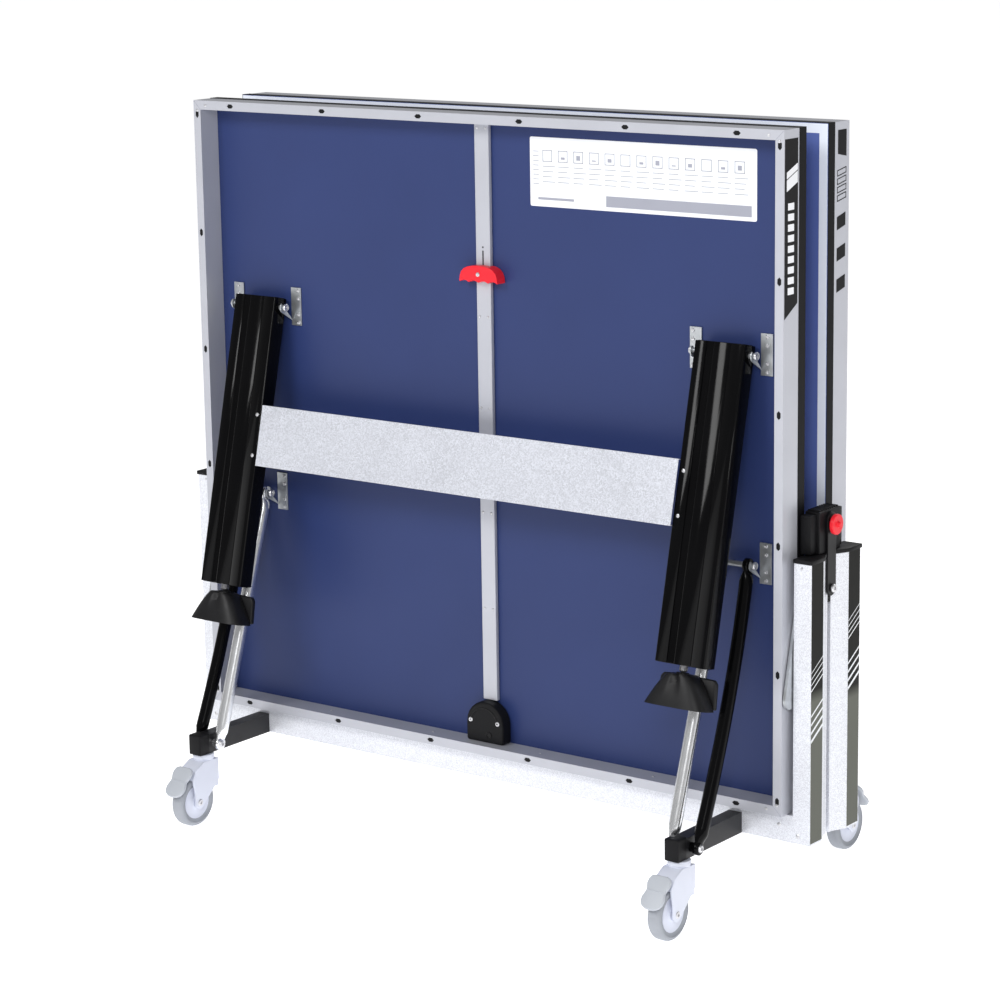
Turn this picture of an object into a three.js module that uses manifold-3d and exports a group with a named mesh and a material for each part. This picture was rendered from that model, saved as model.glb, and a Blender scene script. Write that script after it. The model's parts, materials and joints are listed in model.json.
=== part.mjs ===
// A folding competition table-tennis table, standing folded for storage on its four casters.
// Two half-tables stand on edge with their playing faces towards each other. Each is carried by a
// pair of swing arms and two pairs of links on a U-shaped chassis, and its legs fold out as it
// comes down. Units are millimetres, +Z is up and X runs along the net. The near half is on the -Y
// side, and the far half is the same half turned by 180 degrees about Z.
// The origin is on the floor, at the middle of the folded table.

import * as THREE from "three";
import { mergeVertices } from "three/addons/utils/BufferGeometryUtils.js";
import Module from "manifold-3d";

const wasm = await Module();
wasm.setup();

// ---- Driving dimensions ----------------------------------------------------------------------

// Half-table. u is measured from the net edge along the top, w is measured down from its surface.
const TOP_WIDTH = 1525;
const TOP_LENGTH = 1370;
const TOP_THICKNESS = 25;
const PLAY_HEIGHT = 760;
const PLAY_GAP = 2; // between the two net edges in play
const FACE_GAP = 82; // between the two playing faces when folded
const NET_EDGE_LIFT = 217; // net edge above the floor when folded

// Perimeter frame under the top, a channel that is open towards the top
const FRAME_DEPTH = 55;
const FRAME_WIDTH = 20;
const FRAME_WALL = 2;
const SLOT_LENGTH = 18;
const SLOT_WIDTH = 9;
const SLOT_PITCH = 262;
const SLOTS_PER_SIDE = 6;

// Flat rail down the middle of the underside, and what is mounted on it
const RAIL_WIDTH = 37;
const RAIL_THICKNESS = 10;
const LATCH_WIDTH = 98;
const LATCH_HEIGHT = 90;
const LATCH_DEPTH = 33;
const HANDLE_WIDTH = 100;
const HANDLE_HEIGHT = 36;
const HANDLE_DEPTH = 29;
const HANDLE_U = 1035;
const HANDLE_SCALLOPS = 4;

// Legs
const LEG_WIDTH = 121;
const LEG_THICKNESS = 40;
const LEG_WALL = 2.5;
const LEG_CENTRE = 609;
const LEG_PIVOT_U = 923;
const LEG_PIVOT_W = 55;
const LEG_HEAD = 20; // leg above its pivot
const LEG_LEAN = THREE.MathUtils.degToRad(13.3); // off vertical when folded
const GROOVE_WIDTH = 12;
const GROOVE_DEPTH = 4;
const PANEL_HEIGHT = 134;
const PANEL_DROP = 218; // pivot to the top edge of the cross panel
const PANEL_THICKNESS = 24;
const PANEL_WALL = 1.6;

// Adjustable feet
const FOOT_WIDTH = 146;
const FOOT_DEPTH = 74;
const FOOT_HEIGHT = 66;
const FOOT_NECK = 0.42; // width of the neck as a share of the sole
const STEM_RADIUS = 9;
const STEM_LENGTH = 62;
const STEM_SHOWN = 18; // between the leg's end and the foot

// Folded sheet brackets, each a pair of V-shaped ears on flanges screwed to the top
const SHEET = 3;
const EAR_BASE = 64;
const EAR_ROUND = 13;
const FLANGE_WIDTH = 28;
const FLANGE_HEIGHT = 84;
const EAR_CLEARANCE = 9;
const PIN_RADIUS = 6;

// Links between the chassis and the top
const LINK_RADIUS = 14;
const LINK_LOW_Y = 280; // distance of the low pivot from the middle plane
const LINK_LOW_Z = 178;
const LINK_TOP_W = 57;
const LINK_GAP = 1.5; // between the links and the outrigger
const EYE_THICKNESS = 12;
const LINK_BOSS = 10;
const BAR_BEND_SHARE = 0.56; // how far up the bar its bend is
const BAR_BEND_OFFSET = 34;

// Swing arms
const SWING_TOP_U = 240;
const SWING_TOP_W = 60;
const SWING_Y = 55;
const ARM_PLATE = 6;
const ARM_ROUND = 20;
const ARM_BOSS = 14;

// Chassis
const CHASSIS_BOTTOM = 157;
const BEAM_CLEARANCE = 3;
const BEAM_FRONT = 94;
const BEAM_DEPTH = 40;
const TUBE_WALL = 2.5;
const UPRIGHT_GAP = 10.5; // between the frame's side and the upright
const UPRIGHT_WIDTH = 40;
const UPRIGHT_TOP = 742;
const UPRIGHT_SIDE = 46;
const CHAMFER_IN = 16;
const CHAMFER_END = 15;
const NOSE_Y = 6;
const OUTRIGGER_X = 637;
const OUTRIGGER_WIDTH = 31;
const OUTRIGGER_HEIGHT = 43;
const OUTRIGGER_FRONT = 326;

// Side locks, on the middle plane between the uprights
const LOCK_IN = 2;
const LOCK_WIDTH = 33.5;
const LOCK_DEPTH = 80;
const LOCK_HEIGHT = 86;
const LOCK_TONGUE = 10;
const TONGUE_LENGTH = 104;
const LOCK_BORE = 16;
const LOCK_PLATE = 5;
const LOCK_ROUND = 16;
const LOCK_BOLT_DROP = 72; // below the top of the upright
const LOCK_PLATE_LENGTH = 140;
const KNOB_RADIUS = 21;
const KNOB_LENGTH = 13;
const KNOB_DROP = 9; // knob axis below the plate's upper round

// Casters
const SWIVEL_Y = 300;
const TRAIL = 40;
const WHEEL_RADIUS = 55;
const WHEEL_WIDTH = 32;
const TREAD_ROUND = 9;
const AXLE_RADIUS = 6;
const CHEEK = 5;
const CHEEK_GAP = 2;
const COLLAR_RADIUS = 24;
const COLLAR_HEIGHT = 12;
const CROWN_HEIGHT = 22;
const CROWN_RADIUS = 30;
const PEDAL_WIDTH = 54;
const PEDAL_PLATE = 8; // half its thickness
const PEDAL_DROP = 44; // hub to tip
const PEDAL_NOTCH = 7; // half the gap between its lobes

// Clearances
const TOUCH = 0.3; // between pieces that are fastened together
const RUNNING = 0.5; // round a pin, and between pieces that slide past each other

const ROUND_SIDES = 24;
const SMALL_SIDES = 12;

// ---- Materials -------------------------------------------------------------------------------

const paint = (color, roughness, metalness) =>
  new THREE.MeshStandardMaterial({ color, roughness, metalness });
const material = {
  top: paint(0x35437d, 0.55, 0),
  frame: paint(0xc9ccd6, 0.45, 0.6),
  galvanised: paint(0xb9bdc9, 0.42, 0.8),
  black: paint(0x17171b, 0.4, 0.3),
  rubber: paint(0x1c1c1e, 0.8, 0),
  zinc: paint(0xc4c6cf, 0.35, 0.85),
  bright: paint(0xd8dae2, 0.25, 0.9),
  red: paint(0xf2202c, 0.35, 0),
  grey: paint(0xc3c3d2, 0.45, 0),
  tyre: paint(0x8f8f9d, 0.6, 0),
};

// ---- Solids ----------------------------------------------------------------------------------

// A closed three.js geometry as a solid that can be joined and cut.
function solid(geometry) {
  const bare = new THREE.BufferGeometry();
  bare.setAttribute("position", geometry.getAttribute("position"));
  if (geometry.index) bare.setIndex(geometry.index);
  const merged = mergeVertices(bare, 1e-4);
  return new wasm.Manifold(
    new wasm.Mesh({
      numProp: 3,
      vertProperties: new Float32Array(merged.attributes.position.array),
      triVerts: new Uint32Array(merged.index.array),
    }),
  );
}

function join(...solids) {
  return solids.reduce((sum, next) => sum.add(next));
}

function block([x0, x1], [y0, y1], [z0, z1]) {
  const size = [Math.abs(x1 - x0), Math.abs(y1 - y0), Math.abs(z1 - z0)];
  const geometry = new THREE.BoxGeometry(...size);
  return solid(geometry.translate((x0 + x1) / 2, (y0 + y1) / 2, (z0 + z1) / 2));
}

// A round bar along X, at (y, z).
function pin([x0, x1], y, z, radius, sides = SMALL_SIDES) {
  const geometry = new THREE.CylinderGeometry(radius, radius, Math.abs(x1 - x0), sides);
  return solid(geometry.rotateZ(Math.PI / 2).translate((x0 + x1) / 2, y, z));
}

// A round bar along Z, at (x, y).
function post(x, y, [z0, z1], radius, sides = ROUND_SIDES) {
  const geometry = new THREE.CylinderGeometry(radius, radius, z1 - z0, sides);
  return solid(geometry.rotateX(Math.PI / 2).translate(x, y, (z0 + z1) / 2));
}

// A (y, z) outline pushed along X.
function plateX(shape, [x0, x1]) {
  const low = Math.min(x0, x1);
  const geometry = new THREE.ExtrudeGeometry(shape, {
    depth: Math.abs(x1 - x0),
    bevelEnabled: false,
    curveSegments: 4,
  });
  const turn = new THREE.Matrix4().set(0, 0, 1, low, 1, 0, 0, 0, 0, 1, 0, 0, 0, 0, 0, 1);
  return solid(geometry.applyMatrix4(turn));
}

// A (z, x) outline pushed along Y.
function plateY(shape, [y0, y1], curveSegments = 6) {
  const low = Math.min(y0, y1);
  const geometry = new THREE.ExtrudeGeometry(shape, {
    depth: Math.abs(y1 - y0),
    bevelEnabled: false,
    curveSegments,
  });
  const turn = new THREE.Matrix4().set(0, 1, 0, 0, 0, 0, 1, low, 1, 0, 0, 0, 0, 0, 0, 1);
  return solid(geometry.applyMatrix4(turn));
}

// An (x, y) outline pushed along Z.
function plateZ(shape, [z0, z1], steps = 1) {
  const geometry = new THREE.ExtrudeGeometry(shape, {
    depth: z1 - z0,
    bevelEnabled: false,
    curveSegments: 2,
    steps,
  });
  return geometry.translate(0, 0, z0);
}

function outline(points) {
  return new THREE.Shape(points.map(([a, b]) => new THREE.Vector2(a, b)));
}

// The belt line round two circles of one radius.
function stadium(a, b, radius) {
  const along = Math.atan2(b[1] - a[1], b[0] - a[0]);
  const shape = new THREE.Shape();
  shape.absarc(a[0], a[1], radius, along + Math.PI / 2, along + 1.5 * Math.PI);
  shape.absarc(b[0], b[1], radius, along - Math.PI / 2, along + Math.PI / 2);
  return shape;
}

// The belt line round a circle and a straight base: a V-shaped ear with a rounded tip.
function ear(tip, baseY, baseZ, radius) {
  const shape = new THREE.Shape();
  shape.moveTo(baseY, baseZ + EAR_BASE / 2);
  shape.absarc(tip[0], tip[1], radius, Math.PI * 0.72, Math.PI * 1.28);
  shape.lineTo(baseY, baseZ - EAR_BASE / 2);
  return shape;
}

function roundedRect(width, depth, radius) {
  const [x, y] = [width / 2 - radius, depth / 2 - radius];
  const shape = new THREE.Shape();
  shape.absarc(x, y, radius, 0, Math.PI / 2);
  shape.absarc(-x, y, radius, Math.PI / 2, Math.PI);
  shape.absarc(-x, -y, radius, Math.PI, 1.5 * Math.PI);
  shape.absarc(x, -y, radius, 1.5 * Math.PI, 2 * Math.PI);
  return shape;
}

function mesh(name, made, look) {
  const parts = made.getMesh();
  const geometry = new THREE.BufferGeometry();
  geometry.setAttribute("position", new THREE.BufferAttribute(parts.vertProperties, 3));
  geometry.setIndex(new THREE.BufferAttribute(parts.triVerts, 1));
  geometry.computeVertexNormals();
  const made3d = new THREE.Mesh(geometry, look);
  made3d.name = name;
  return made3d;
}

// ---- Places of the folded half-table -----------------------------------------------------------

const FACE_Y = -FACE_GAP / 2;
const UNDERSIDE_Y = FACE_Y - TOP_THICKNESS;
const FRAME_FRONT_Y = UNDERSIDE_Y - FRAME_DEPTH;
const TOP_END_Z = NET_EDGE_LIFT + TOP_LENGTH;
const HALF_WIDTH = TOP_WIDTH / 2;
const UPRIGHT_IN = HALF_WIDTH + UPRIGHT_GAP;
const UPRIGHT_OUT = UPRIGHT_IN + UPRIGHT_WIDTH;

// The (y, z) of a point of the half-table when folded, and when the table is set up.
const folded = (u, w) => [FACE_Y - w, NET_EDGE_LIFT + u];
const inPlay = (u, w) => [-PLAY_GAP / 2 - u, PLAY_HEIGHT - w];

// The height at which a pivot at y is equally far from both places of (u, w).
function equalReachZ(u, w, y) {
  const [a, b] = [folded(u, w), inPlay(u, w)];
  const middle = [(a[0] + b[0]) / 2, (a[1] + b[1]) / 2];
  return middle[1] - ((y - middle[0]) * (b[0] - a[0])) / (b[1] - a[1]);
}

// The u at which a point at depth w is equally far from the pivot (y, z) in both places.
function equalReachU(w, y, z) {
  const play = (-PLAY_GAP / 2 - y) ** 2 + (PLAY_HEIGHT - w - z) ** 2;
  const fold = (FACE_Y - w - y) ** 2 + (NET_EDGE_LIFT - z) ** 2;
  return (play - fold) / (2 * (NET_EDGE_LIFT - z - PLAY_GAP / 2 - y));
}

const LEG_PIVOT = folded(LEG_PIVOT_U, LEG_PIVOT_W);
const LINK_LOW = [-LINK_LOW_Y, LINK_LOW_Z];
const LINK_TOP = folded(equalReachU(LINK_TOP_W, ...LINK_LOW), LINK_TOP_W);
const TUBE_X = OUTRIGGER_X - OUTRIGGER_WIDTH / 2 - LINK_GAP - LINK_RADIUS;
const BAR_X = OUTRIGGER_X + OUTRIGGER_WIDTH / 2 + LINK_GAP + LINK_RADIUS;
const SWING_LOW = folded(SWING_TOP_U, SWING_TOP_W);
const SWING_HIGH = [-SWING_Y, equalReachZ(SWING_TOP_U, SWING_TOP_W, -SWING_Y)];

// ---- Half-table --------------------------------------------------------------------------------

function playingTop() {
  return block([-HALF_WIDTH, HALF_WIDTH], [UNDERSIDE_Y, FACE_Y], [NET_EDGE_LIFT, TOP_END_Z]);
}

// A block that is inset from the frame's outer edge on its four sides.
function insetBlock(inset, depths) {
  const across = HALF_WIDTH - inset;
  return block([-across, across], depths, [NET_EDGE_LIFT + inset, TOP_END_Z - inset]);
}

function frameSlots() {
  const depths = [FRAME_FRONT_Y - 1, FRAME_FRONT_Y + FRAME_WALL + 1];
  const reach = (SLOT_LENGTH - SLOT_WIDTH) / 2;
  const radius = SLOT_WIDTH / 2;
  const edge = FRAME_WIDTH / 2;
  const middleZ = (NET_EDGE_LIFT + TOP_END_Z) / 2;
  const slots = [];
  for (let k = 0; k < SLOTS_PER_SIDE; k++) {
    const along = (k - (SLOTS_PER_SIDE - 1) / 2) * SLOT_PITCH;
    for (const z of [NET_EDGE_LIFT + edge, TOP_END_Z - edge]) {
      slots.push(plateY(stadium([z, along - reach], [z, along + reach], radius), depths, 1));
    }
    for (const x of [edge - HALF_WIDTH, HALF_WIDTH - edge]) {
      const z = middleZ + along;
      slots.push(plateY(stadium([z - reach, x], [z + reach, x], radius), depths, 1));
    }
  }
  return join(...slots);
}

function frame() {
  const depths = [FRAME_FRONT_Y, UNDERSIDE_Y - TOUCH];
  const past = [FRAME_FRONT_Y - 1, UNDERSIDE_Y + 1];
  const groove = insetBlock(FRAME_WALL, [FRAME_FRONT_Y + FRAME_WALL, UNDERSIDE_Y + 1]);
  const core = insetBlock(FRAME_WIDTH - FRAME_WALL, past);
  return insetBlock(0, depths)
    .subtract(insetBlock(FRAME_WIDTH, past))
    .subtract(groove.subtract(core))
    .subtract(frameSlots());
}

const RAIL_BACK_Y = UNDERSIDE_Y - TOUCH;
const RAIL_FRONT_Y = RAIL_BACK_Y - RAIL_THICKNESS;
const LATCH_LOW_Z = NET_EDGE_LIFT + FRAME_WIDTH + TOUCH;
const LATCH_HIGH_Z = LATCH_LOW_Z + LATCH_HEIGHT;

function centreRail() {
  const across = [-RAIL_WIDTH / 2, RAIL_WIDTH / 2];
  const high = TOP_END_Z - FRAME_WIDTH - TOUCH;
  return block(across, [RAIL_FRONT_Y, RAIL_BACK_Y], [LATCH_HIGH_Z + TOUCH, high]);
}

// The housing of the latch that holds the half-table down: a box with a round head.
function latchHousing() {
  const radius = LATCH_WIDTH / 2;
  const shape = new THREE.Shape();
  shape.moveTo(LATCH_LOW_Z, -radius);
  shape.lineTo(LATCH_LOW_Z, radius);
  shape.lineTo(LATCH_HIGH_Z - radius, radius);
  shape.absarc(LATCH_HIGH_Z - radius, 0, radius, Math.PI / 2, -Math.PI / 2, true);
  return plateY(shape, [RAIL_BACK_Y - LATCH_DEPTH, RAIL_BACK_Y]);
}

// A half-moon finger pull with a scalloped lower edge. It sits astride the rail and slides up it.
function releaseHandle() {
  const low = NET_EDGE_LIFT + HANDLE_U - HANDLE_HEIGHT / 2;
  const half = HANDLE_WIDTH / 2;
  const bite = HANDLE_WIDTH / HANDLE_SCALLOPS / 2;
  const shape = new THREE.Shape();
  shape.moveTo(low, -half);
  for (let k = 0; k < HANDLE_SCALLOPS; k++) {
    const x = -half + bite * (2 * k + 1);
    shape.quadraticCurveTo(low + bite * 0.7, x, low, x + bite);
  }
  shape.bezierCurveTo(low + HANDLE_HEIGHT * 0.8, half, low + HANDLE_HEIGHT, half * 0.7, low + HANDLE_HEIGHT, 0);
  shape.bezierCurveTo(low + HANDLE_HEIGHT, -half * 0.7, low + HANDLE_HEIGHT * 0.8, -half, low, -half);
  const across = [-RAIL_WIDTH / 2 - RUNNING, RAIL_WIDTH / 2 + RUNNING];
  const railway = block(across, [RAIL_FRONT_Y - RUNNING, UNDERSIDE_Y], [low - bite, low + HANDLE_HEIGHT + 1]);
  return plateY(shape, [RAIL_BACK_Y - HANDLE_DEPTH, RAIL_BACK_Y]).subtract(railway);
}

// ---- Brackets on the underside of the top -----------------------------------------------------

const BRACKET_BACK_Y = UNDERSIDE_Y - TOUCH;

// One ear on the side of a pivot that faces away from x = 0 when away is 1, with its flange.
function bracketHalf(earIn, away, pivot) {
  const baseY = BRACKET_BACK_Y - SHEET / 2;
  const earX = [earIn, earIn + away * SHEET];
  const flangeX = [earIn, earIn + away * FLANGE_WIDTH];
  const heights = [pivot[1] - FLANGE_HEIGHT / 2, pivot[1] + FLANGE_HEIGHT / 2];
  return join(
    plateX(ear(pivot, baseY, pivot[1], EAR_ROUND), earX),
    block(flangeX, [BRACKET_BACK_Y - SHEET, BRACKET_BACK_Y], heights),
  );
}

// Two ears and the pin through the head of a leg.
function legBracket(side) {
  const inner = side * (LEG_CENTRE - LEG_WIDTH / 2 - EAR_CLEARANCE);
  const outer = side * (LEG_CENTRE + LEG_WIDTH / 2 + EAR_CLEARANCE);
  return join(
    bracketHalf(inner, -side, LEG_PIVOT),
    bracketHalf(outer, side, LEG_PIVOT),
    pin([inner - side * SHEET * 2, outer + side * SHEET * 2], ...LEG_PIVOT, PIN_RADIUS),
  );
}

// Two ears, and the pin through the top eyes of both links that joins them.
function linkBracket(side) {
  const tubeEye = TUBE_X - EYE_THICKNESS / 2;
  const barEye = BAR_X + EYE_THICKNESS / 2;
  const inner = side * (tubeEye - RUNNING - SHEET);
  const outer = side * (barEye + RUNNING + SHEET);
  return join(
    bracketHalf(inner, -side, LINK_TOP),
    bracketHalf(outer, side, LINK_TOP),
    pin([inner - side * SHEET * 2, outer + side * SHEET * 2], ...LINK_TOP, PIN_RADIUS),
  );
}

// ---- Legs, built about their pivot with the leg straight down ----------------------------------

const FOOT_SOLE_Z = LEG_PIVOT_W - PLAY_HEIGHT;
const FOOT_TOP_Z = FOOT_SOLE_Z + FOOT_HEIGHT;
const LEG_END_Z = FOOT_TOP_Z + STEM_SHOWN;

// The leg's section: a box with two shallow grooves down its front face.
function legSection() {
  const [half, front] = [LEG_WIDTH / 2, -LEG_THICKNESS / 2];
  const points = [[half, front], [half, -front], [-half, -front], [-half, front]];
  for (const centre of [-LEG_WIDTH / 5, LEG_WIDTH / 5]) {
    points.push([centre - GROOVE_WIDTH / 2, front]);
    points.push([centre - GROOVE_WIDTH / 4, front + GROOVE_DEPTH]);
    points.push([centre + GROOVE_WIDTH / 4, front + GROOVE_DEPTH]);
    points.push([centre + GROOVE_WIDTH / 2, front]);
  }
  return outline(points);
}

function leg(side) {
  const heights = [LEG_END_Z, LEG_HEAD];
  const across = LEG_WIDTH / 2;
  const hollow = block(
    [LEG_WALL - across, across - LEG_WALL],
    [GROOVE_DEPTH + LEG_WALL - LEG_THICKNESS / 2, LEG_THICKNESS / 2 - LEG_WALL],
    [LEG_END_Z + LEG_WALL, LEG_HEAD + 1],
  );
  const stemHole = post(0, 0, [LEG_END_Z - 1, LEG_END_Z + LEG_WALL + 1], STEM_RADIUS + RUNNING);
  return solid(plateZ(legSection(), heights))
    .subtract(hollow)
    .subtract(pin([-across - 1, across + 1], 0, 0, PIN_RADIUS + RUNNING))
    .subtract(stemHole)
    .translate([side * LEG_CENTRE, 0, 0]);
}

// A folded sheet between the two legs, a channel that is open to the back.
function crossPanel() {
  const across = LEG_CENTRE - LEG_WIDTH / 2 - TOUCH;
  const front = -LEG_THICKNESS / 2;
  const heights = [-PANEL_DROP - PANEL_HEIGHT, -PANEL_DROP];
  const inside = [heights[0] + PANEL_WALL, heights[1] - PANEL_WALL];
  return block([-across, across], [front, front + PANEL_THICKNESS], heights).subtract(
    block([-across - 1, across + 1], [front + PANEL_WALL, front + PANEL_THICKNESS + 1], inside),
  );
}

// A rubber bell with a rectangular sole, on a threaded stem that screws into the leg.
function foot(side) {
  const bell = plateZ(roundedRect(FOOT_WIDTH, FOOT_DEPTH, 14), [0, FOOT_HEIGHT], 5);
  const place = bell.getAttribute("position");
  for (let i = 0; i < place.count; i++) {
    const rise = place.getZ(i) / FOOT_HEIGHT;
    const share = FOOT_NECK + (1 - FOOT_NECK) * (1 - rise) ** 1.6;
    place.setX(i, place.getX(i) * share);
    place.setY(i, place.getY(i) * (0.45 + 0.55 * share));
  }
  const stem = [FOOT_TOP_Z - 1, FOOT_TOP_Z + STEM_LENGTH];
  return join(
    solid(bell.translate(0, 0, FOOT_SOLE_Z)),
    post(0, 0, stem, STEM_RADIUS, SMALL_SIDES),
  ).translate([side * LEG_CENTRE, 0, 0]);
}

// ---- Links -------------------------------------------------------------------------------------

// A point that is a distance from the first point towards the second.
function towards(from, to, distance) {
  const reach = Math.hypot(to[0] - from[0], to[1] - from[1]);
  return from.map((v, k) => v + ((to[k] - v) * distance) / reach);
}

// A flat eye round a pivot, with the flattened stretch that runs onward into the round bar.
function linkEye(eye, onward, across) {
  const neck = stadium(
    towards(eye, onward, LINK_RADIUS),
    towards(eye, onward, LINK_RADIUS * 2.4),
    LINK_RADIUS * 0.8,
  );
  const head = stadium(eye, towards(eye, onward, LINK_RADIUS * 0.2), LINK_RADIUS);
  return join(plateX(head, across), plateX(neck, across));
}

// A round bar in the plane x between the two link pivots, by way of a bend if it has one. Its low
// eye has a boss that reaches to just clear of the outrigger's face at the x inward.
function link(x, inward, bend = null) {
  const across = [x - EYE_THICKNESS / 2, x + EYE_THICKNESS / 2];
  const inPlane = ([y, z]) => new THREE.Vector3(x, y, z);
  const start = inPlane(towards(LINK_LOW, bend ?? LINK_TOP, LINK_RADIUS * 1.6));
  const end = inPlane(towards(LINK_TOP, bend ?? LINK_LOW, LINK_RADIUS * 1.6));
  const circle = new THREE.Shape();
  circle.absarc(0, 0, LINK_RADIUS, 0, 2 * Math.PI);
  const bar = new THREE.ExtrudeGeometry(circle, {
    steps: bend ? 8 : 1,
    bevelEnabled: false,
    curveSegments: SMALL_SIDES / 2,
    extrudePath: bend
      ? new THREE.QuadraticBezierCurve3(start, inPlane(bend), end)
      : new THREE.LineCurve3(start, end),
  });
  return join(
    solid(bar),
    linkEye(LINK_LOW, bend ?? LINK_TOP, across),
    linkEye(LINK_TOP, bend ?? LINK_LOW, across),
    pin([x, inward], ...LINK_LOW, LINK_BOSS, ROUND_SIDES),
  ).subtract(
    pin([x - LINK_RADIUS * 2, x + LINK_RADIUS * 2], ...LINK_TOP, PIN_RADIUS + RUNNING),
  );
}

function linkTube(side) {
  return link(side * TUBE_X, side * (OUTRIGGER_X - OUTRIGGER_WIDTH / 2 - RUNNING));
}

// A bar that is straight at both ends and bends once, towards the top.
function supportBar(side) {
  const [dy, dz] = [LINK_TOP[0] - LINK_LOW[0], LINK_TOP[1] - LINK_LOW[1]];
  const reach = Math.hypot(dy, dz);
  const bend = [
    LINK_LOW[0] + dy * BAR_BEND_SHARE + (dz / reach) * BAR_BEND_OFFSET,
    LINK_LOW[1] + dz * BAR_BEND_SHARE - (dy / reach) * BAR_BEND_OFFSET,
  ];
  return link(side * BAR_X, side * (OUTRIGGER_X + OUTRIGGER_WIDTH / 2 + RUNNING), bend);
}

// ---- Swing arm, in the slot between the frame's side and the upright ---------------------------

function swingArm(side) {
  const middle = HALF_WIDTH + UPRIGHT_GAP / 2;
  const plate = [side * (middle - ARM_PLATE / 2), side * (middle + ARM_PLATE / 2)];
  return join(
    plateX(stadium(SWING_LOW, SWING_HIGH, ARM_ROUND), plate),
    pin([side * (HALF_WIDTH + RUNNING), plate[0]], ...SWING_LOW, ARM_BOSS, ROUND_SIDES),
    pin([plate[1], side * (UPRIGHT_IN - RUNNING)], ...SWING_HIGH, ARM_BOSS, ROUND_SIDES),
  );
}

// ---- Chassis -----------------------------------------------------------------------------------

const BEAM_TOP = NET_EDGE_LIFT - BEAM_CLEARANCE;
const BEAM_BACK_Y = BEAM_DEPTH - BEAM_FRONT;

// The upright's section on the +X side, shrunk by a wall: square in front, chamfered at the back.
function uprightSection(side, wall) {
  const [inX, outX] = [UPRIGHT_IN + wall, UPRIGHT_OUT - wall];
  const slant = wall * 0.4;
  const points = [
    [inX, -BEAM_FRONT + wall],
    [outX, -BEAM_FRONT + wall],
    [outX, -BEAM_FRONT + UPRIGHT_SIDE - slant],
    [outX - CHAMFER_IN, -CHAMFER_END - slant],
    [outX - CHAMFER_IN, -NOSE_Y - wall],
    [inX, -NOSE_Y - wall],
  ];
  return outline(points.map(([x, y]) => [side * x, y]));
}

// The beam, its two uprights and its two outriggers, all tube of one wall and welded together.
function chassis() {
  const tubes = (wall, open) => {
    const pieces = [
      block(
        [wall - UPRIGHT_OUT, UPRIGHT_OUT - wall],
        [wall - BEAM_FRONT, BEAM_BACK_Y - wall],
        [CHASSIS_BOTTOM + wall, BEAM_TOP - wall],
      ),
    ];
    for (const side of [-1, 1]) {
      const centre = side * OUTRIGGER_X;
      const across = OUTRIGGER_WIDTH / 2 - wall;
      const heights = [CHASSIS_BOTTOM + wall, UPRIGHT_TOP + open];
      pieces.push(solid(plateZ(uprightSection(side, wall), heights)));
      pieces.push(
        block(
          [centre - across, centre + across],
          [-OUTRIGGER_FRONT - open, -BEAM_FRONT + wall + 1],
          [CHASSIS_BOTTOM + wall, CHASSIS_BOTTOM + OUTRIGGER_HEIGHT - wall],
        ),
      );
    }
    return join(...pieces);
  };
  return tubes(0, 0).subtract(tubes(TUBE_WALL, 1));
}

// ---- Casters, built about the swivel axis at floor level with the wheel trailing to -Y -----------

const COLLAR_TOP = CHASSIS_BOTTOM - RUNNING;
const CROWN_TOP = COLLAR_TOP - COLLAR_HEIGHT;

const CHEEK_IN = WHEEL_WIDTH / 2 + CHEEK_GAP;
const CROWN_FRONT_Y = CROWN_RADIUS * 0.8;
const CHEEK_BACK_Y = -CROWN_RADIUS - PEDAL_PLATE * 3;
const PEDAL_HUB = [-CROWN_RADIUS - PEDAL_PLATE * 2, CROWN_TOP - PEDAL_PLATE * 1.7];
const WHEEL_BACK_Y = -TRAIL - WHEEL_RADIUS;

// A collar and a crown over the wheel, two cheeks beside it and the axle between them.
function casterFork() {
  const axle = [-TRAIL, WHEEL_RADIUS];
  const shape = new THREE.Shape();
  shape.moveTo(CHEEK_BACK_Y, CROWN_TOP - CROWN_HEIGHT);
  shape.absarc(...axle, AXLE_RADIUS * 2.6, Math.PI, 1.9 * Math.PI);
  shape.lineTo(CROWN_FRONT_Y, CROWN_TOP - CROWN_HEIGHT);
  shape.lineTo(CROWN_FRONT_Y, CROWN_TOP);
  shape.lineTo(CHEEK_BACK_Y, CROWN_TOP);
  const cheeks = [-1, 1].map((s) => plateX(shape, [s * CHEEK_IN, s * (CHEEK_IN + CHEEK)]));
  const across = [-CHEEK_IN - 1, CHEEK_IN + 1];
  const crownLow = WHEEL_RADIUS * 2 + CHEEK_GAP * 3;
  return join(
    post(0, 0, [CROWN_TOP - 1, COLLAR_TOP], COLLAR_RADIUS),
    block(across, [-CROWN_RADIUS, CROWN_FRONT_Y], [crownLow, CROWN_TOP]),
    ...cheeks,
    pin(across, ...axle, AXLE_RADIUS),
  );
}

function casterWheel() {
  const half = WHEEL_WIDTH / 2;
  const bore = AXLE_RADIUS + RUNNING;
  const rim = WHEEL_RADIUS - TREAD_ROUND;
  const profile = [
    [bore, -half * 0.8],
    [rim - TREAD_ROUND, -half * 0.8],
    [rim, -half],
    [WHEEL_RADIUS, -half + TREAD_ROUND],
    [WHEEL_RADIUS, half - TREAD_ROUND],
    [rim, half],
    [rim - TREAD_ROUND, half * 0.8],
    [bore, half * 0.8],
    [bore, -half * 0.8],
  ].map(([r, x]) => new THREE.Vector2(r, x));
  const lathe = new THREE.LatheGeometry(profile, ROUND_SIDES);
  return solid(lathe.rotateZ(-Math.PI / 2).translate(0, -TRAIL, WHEEL_RADIUS));
}

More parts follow.
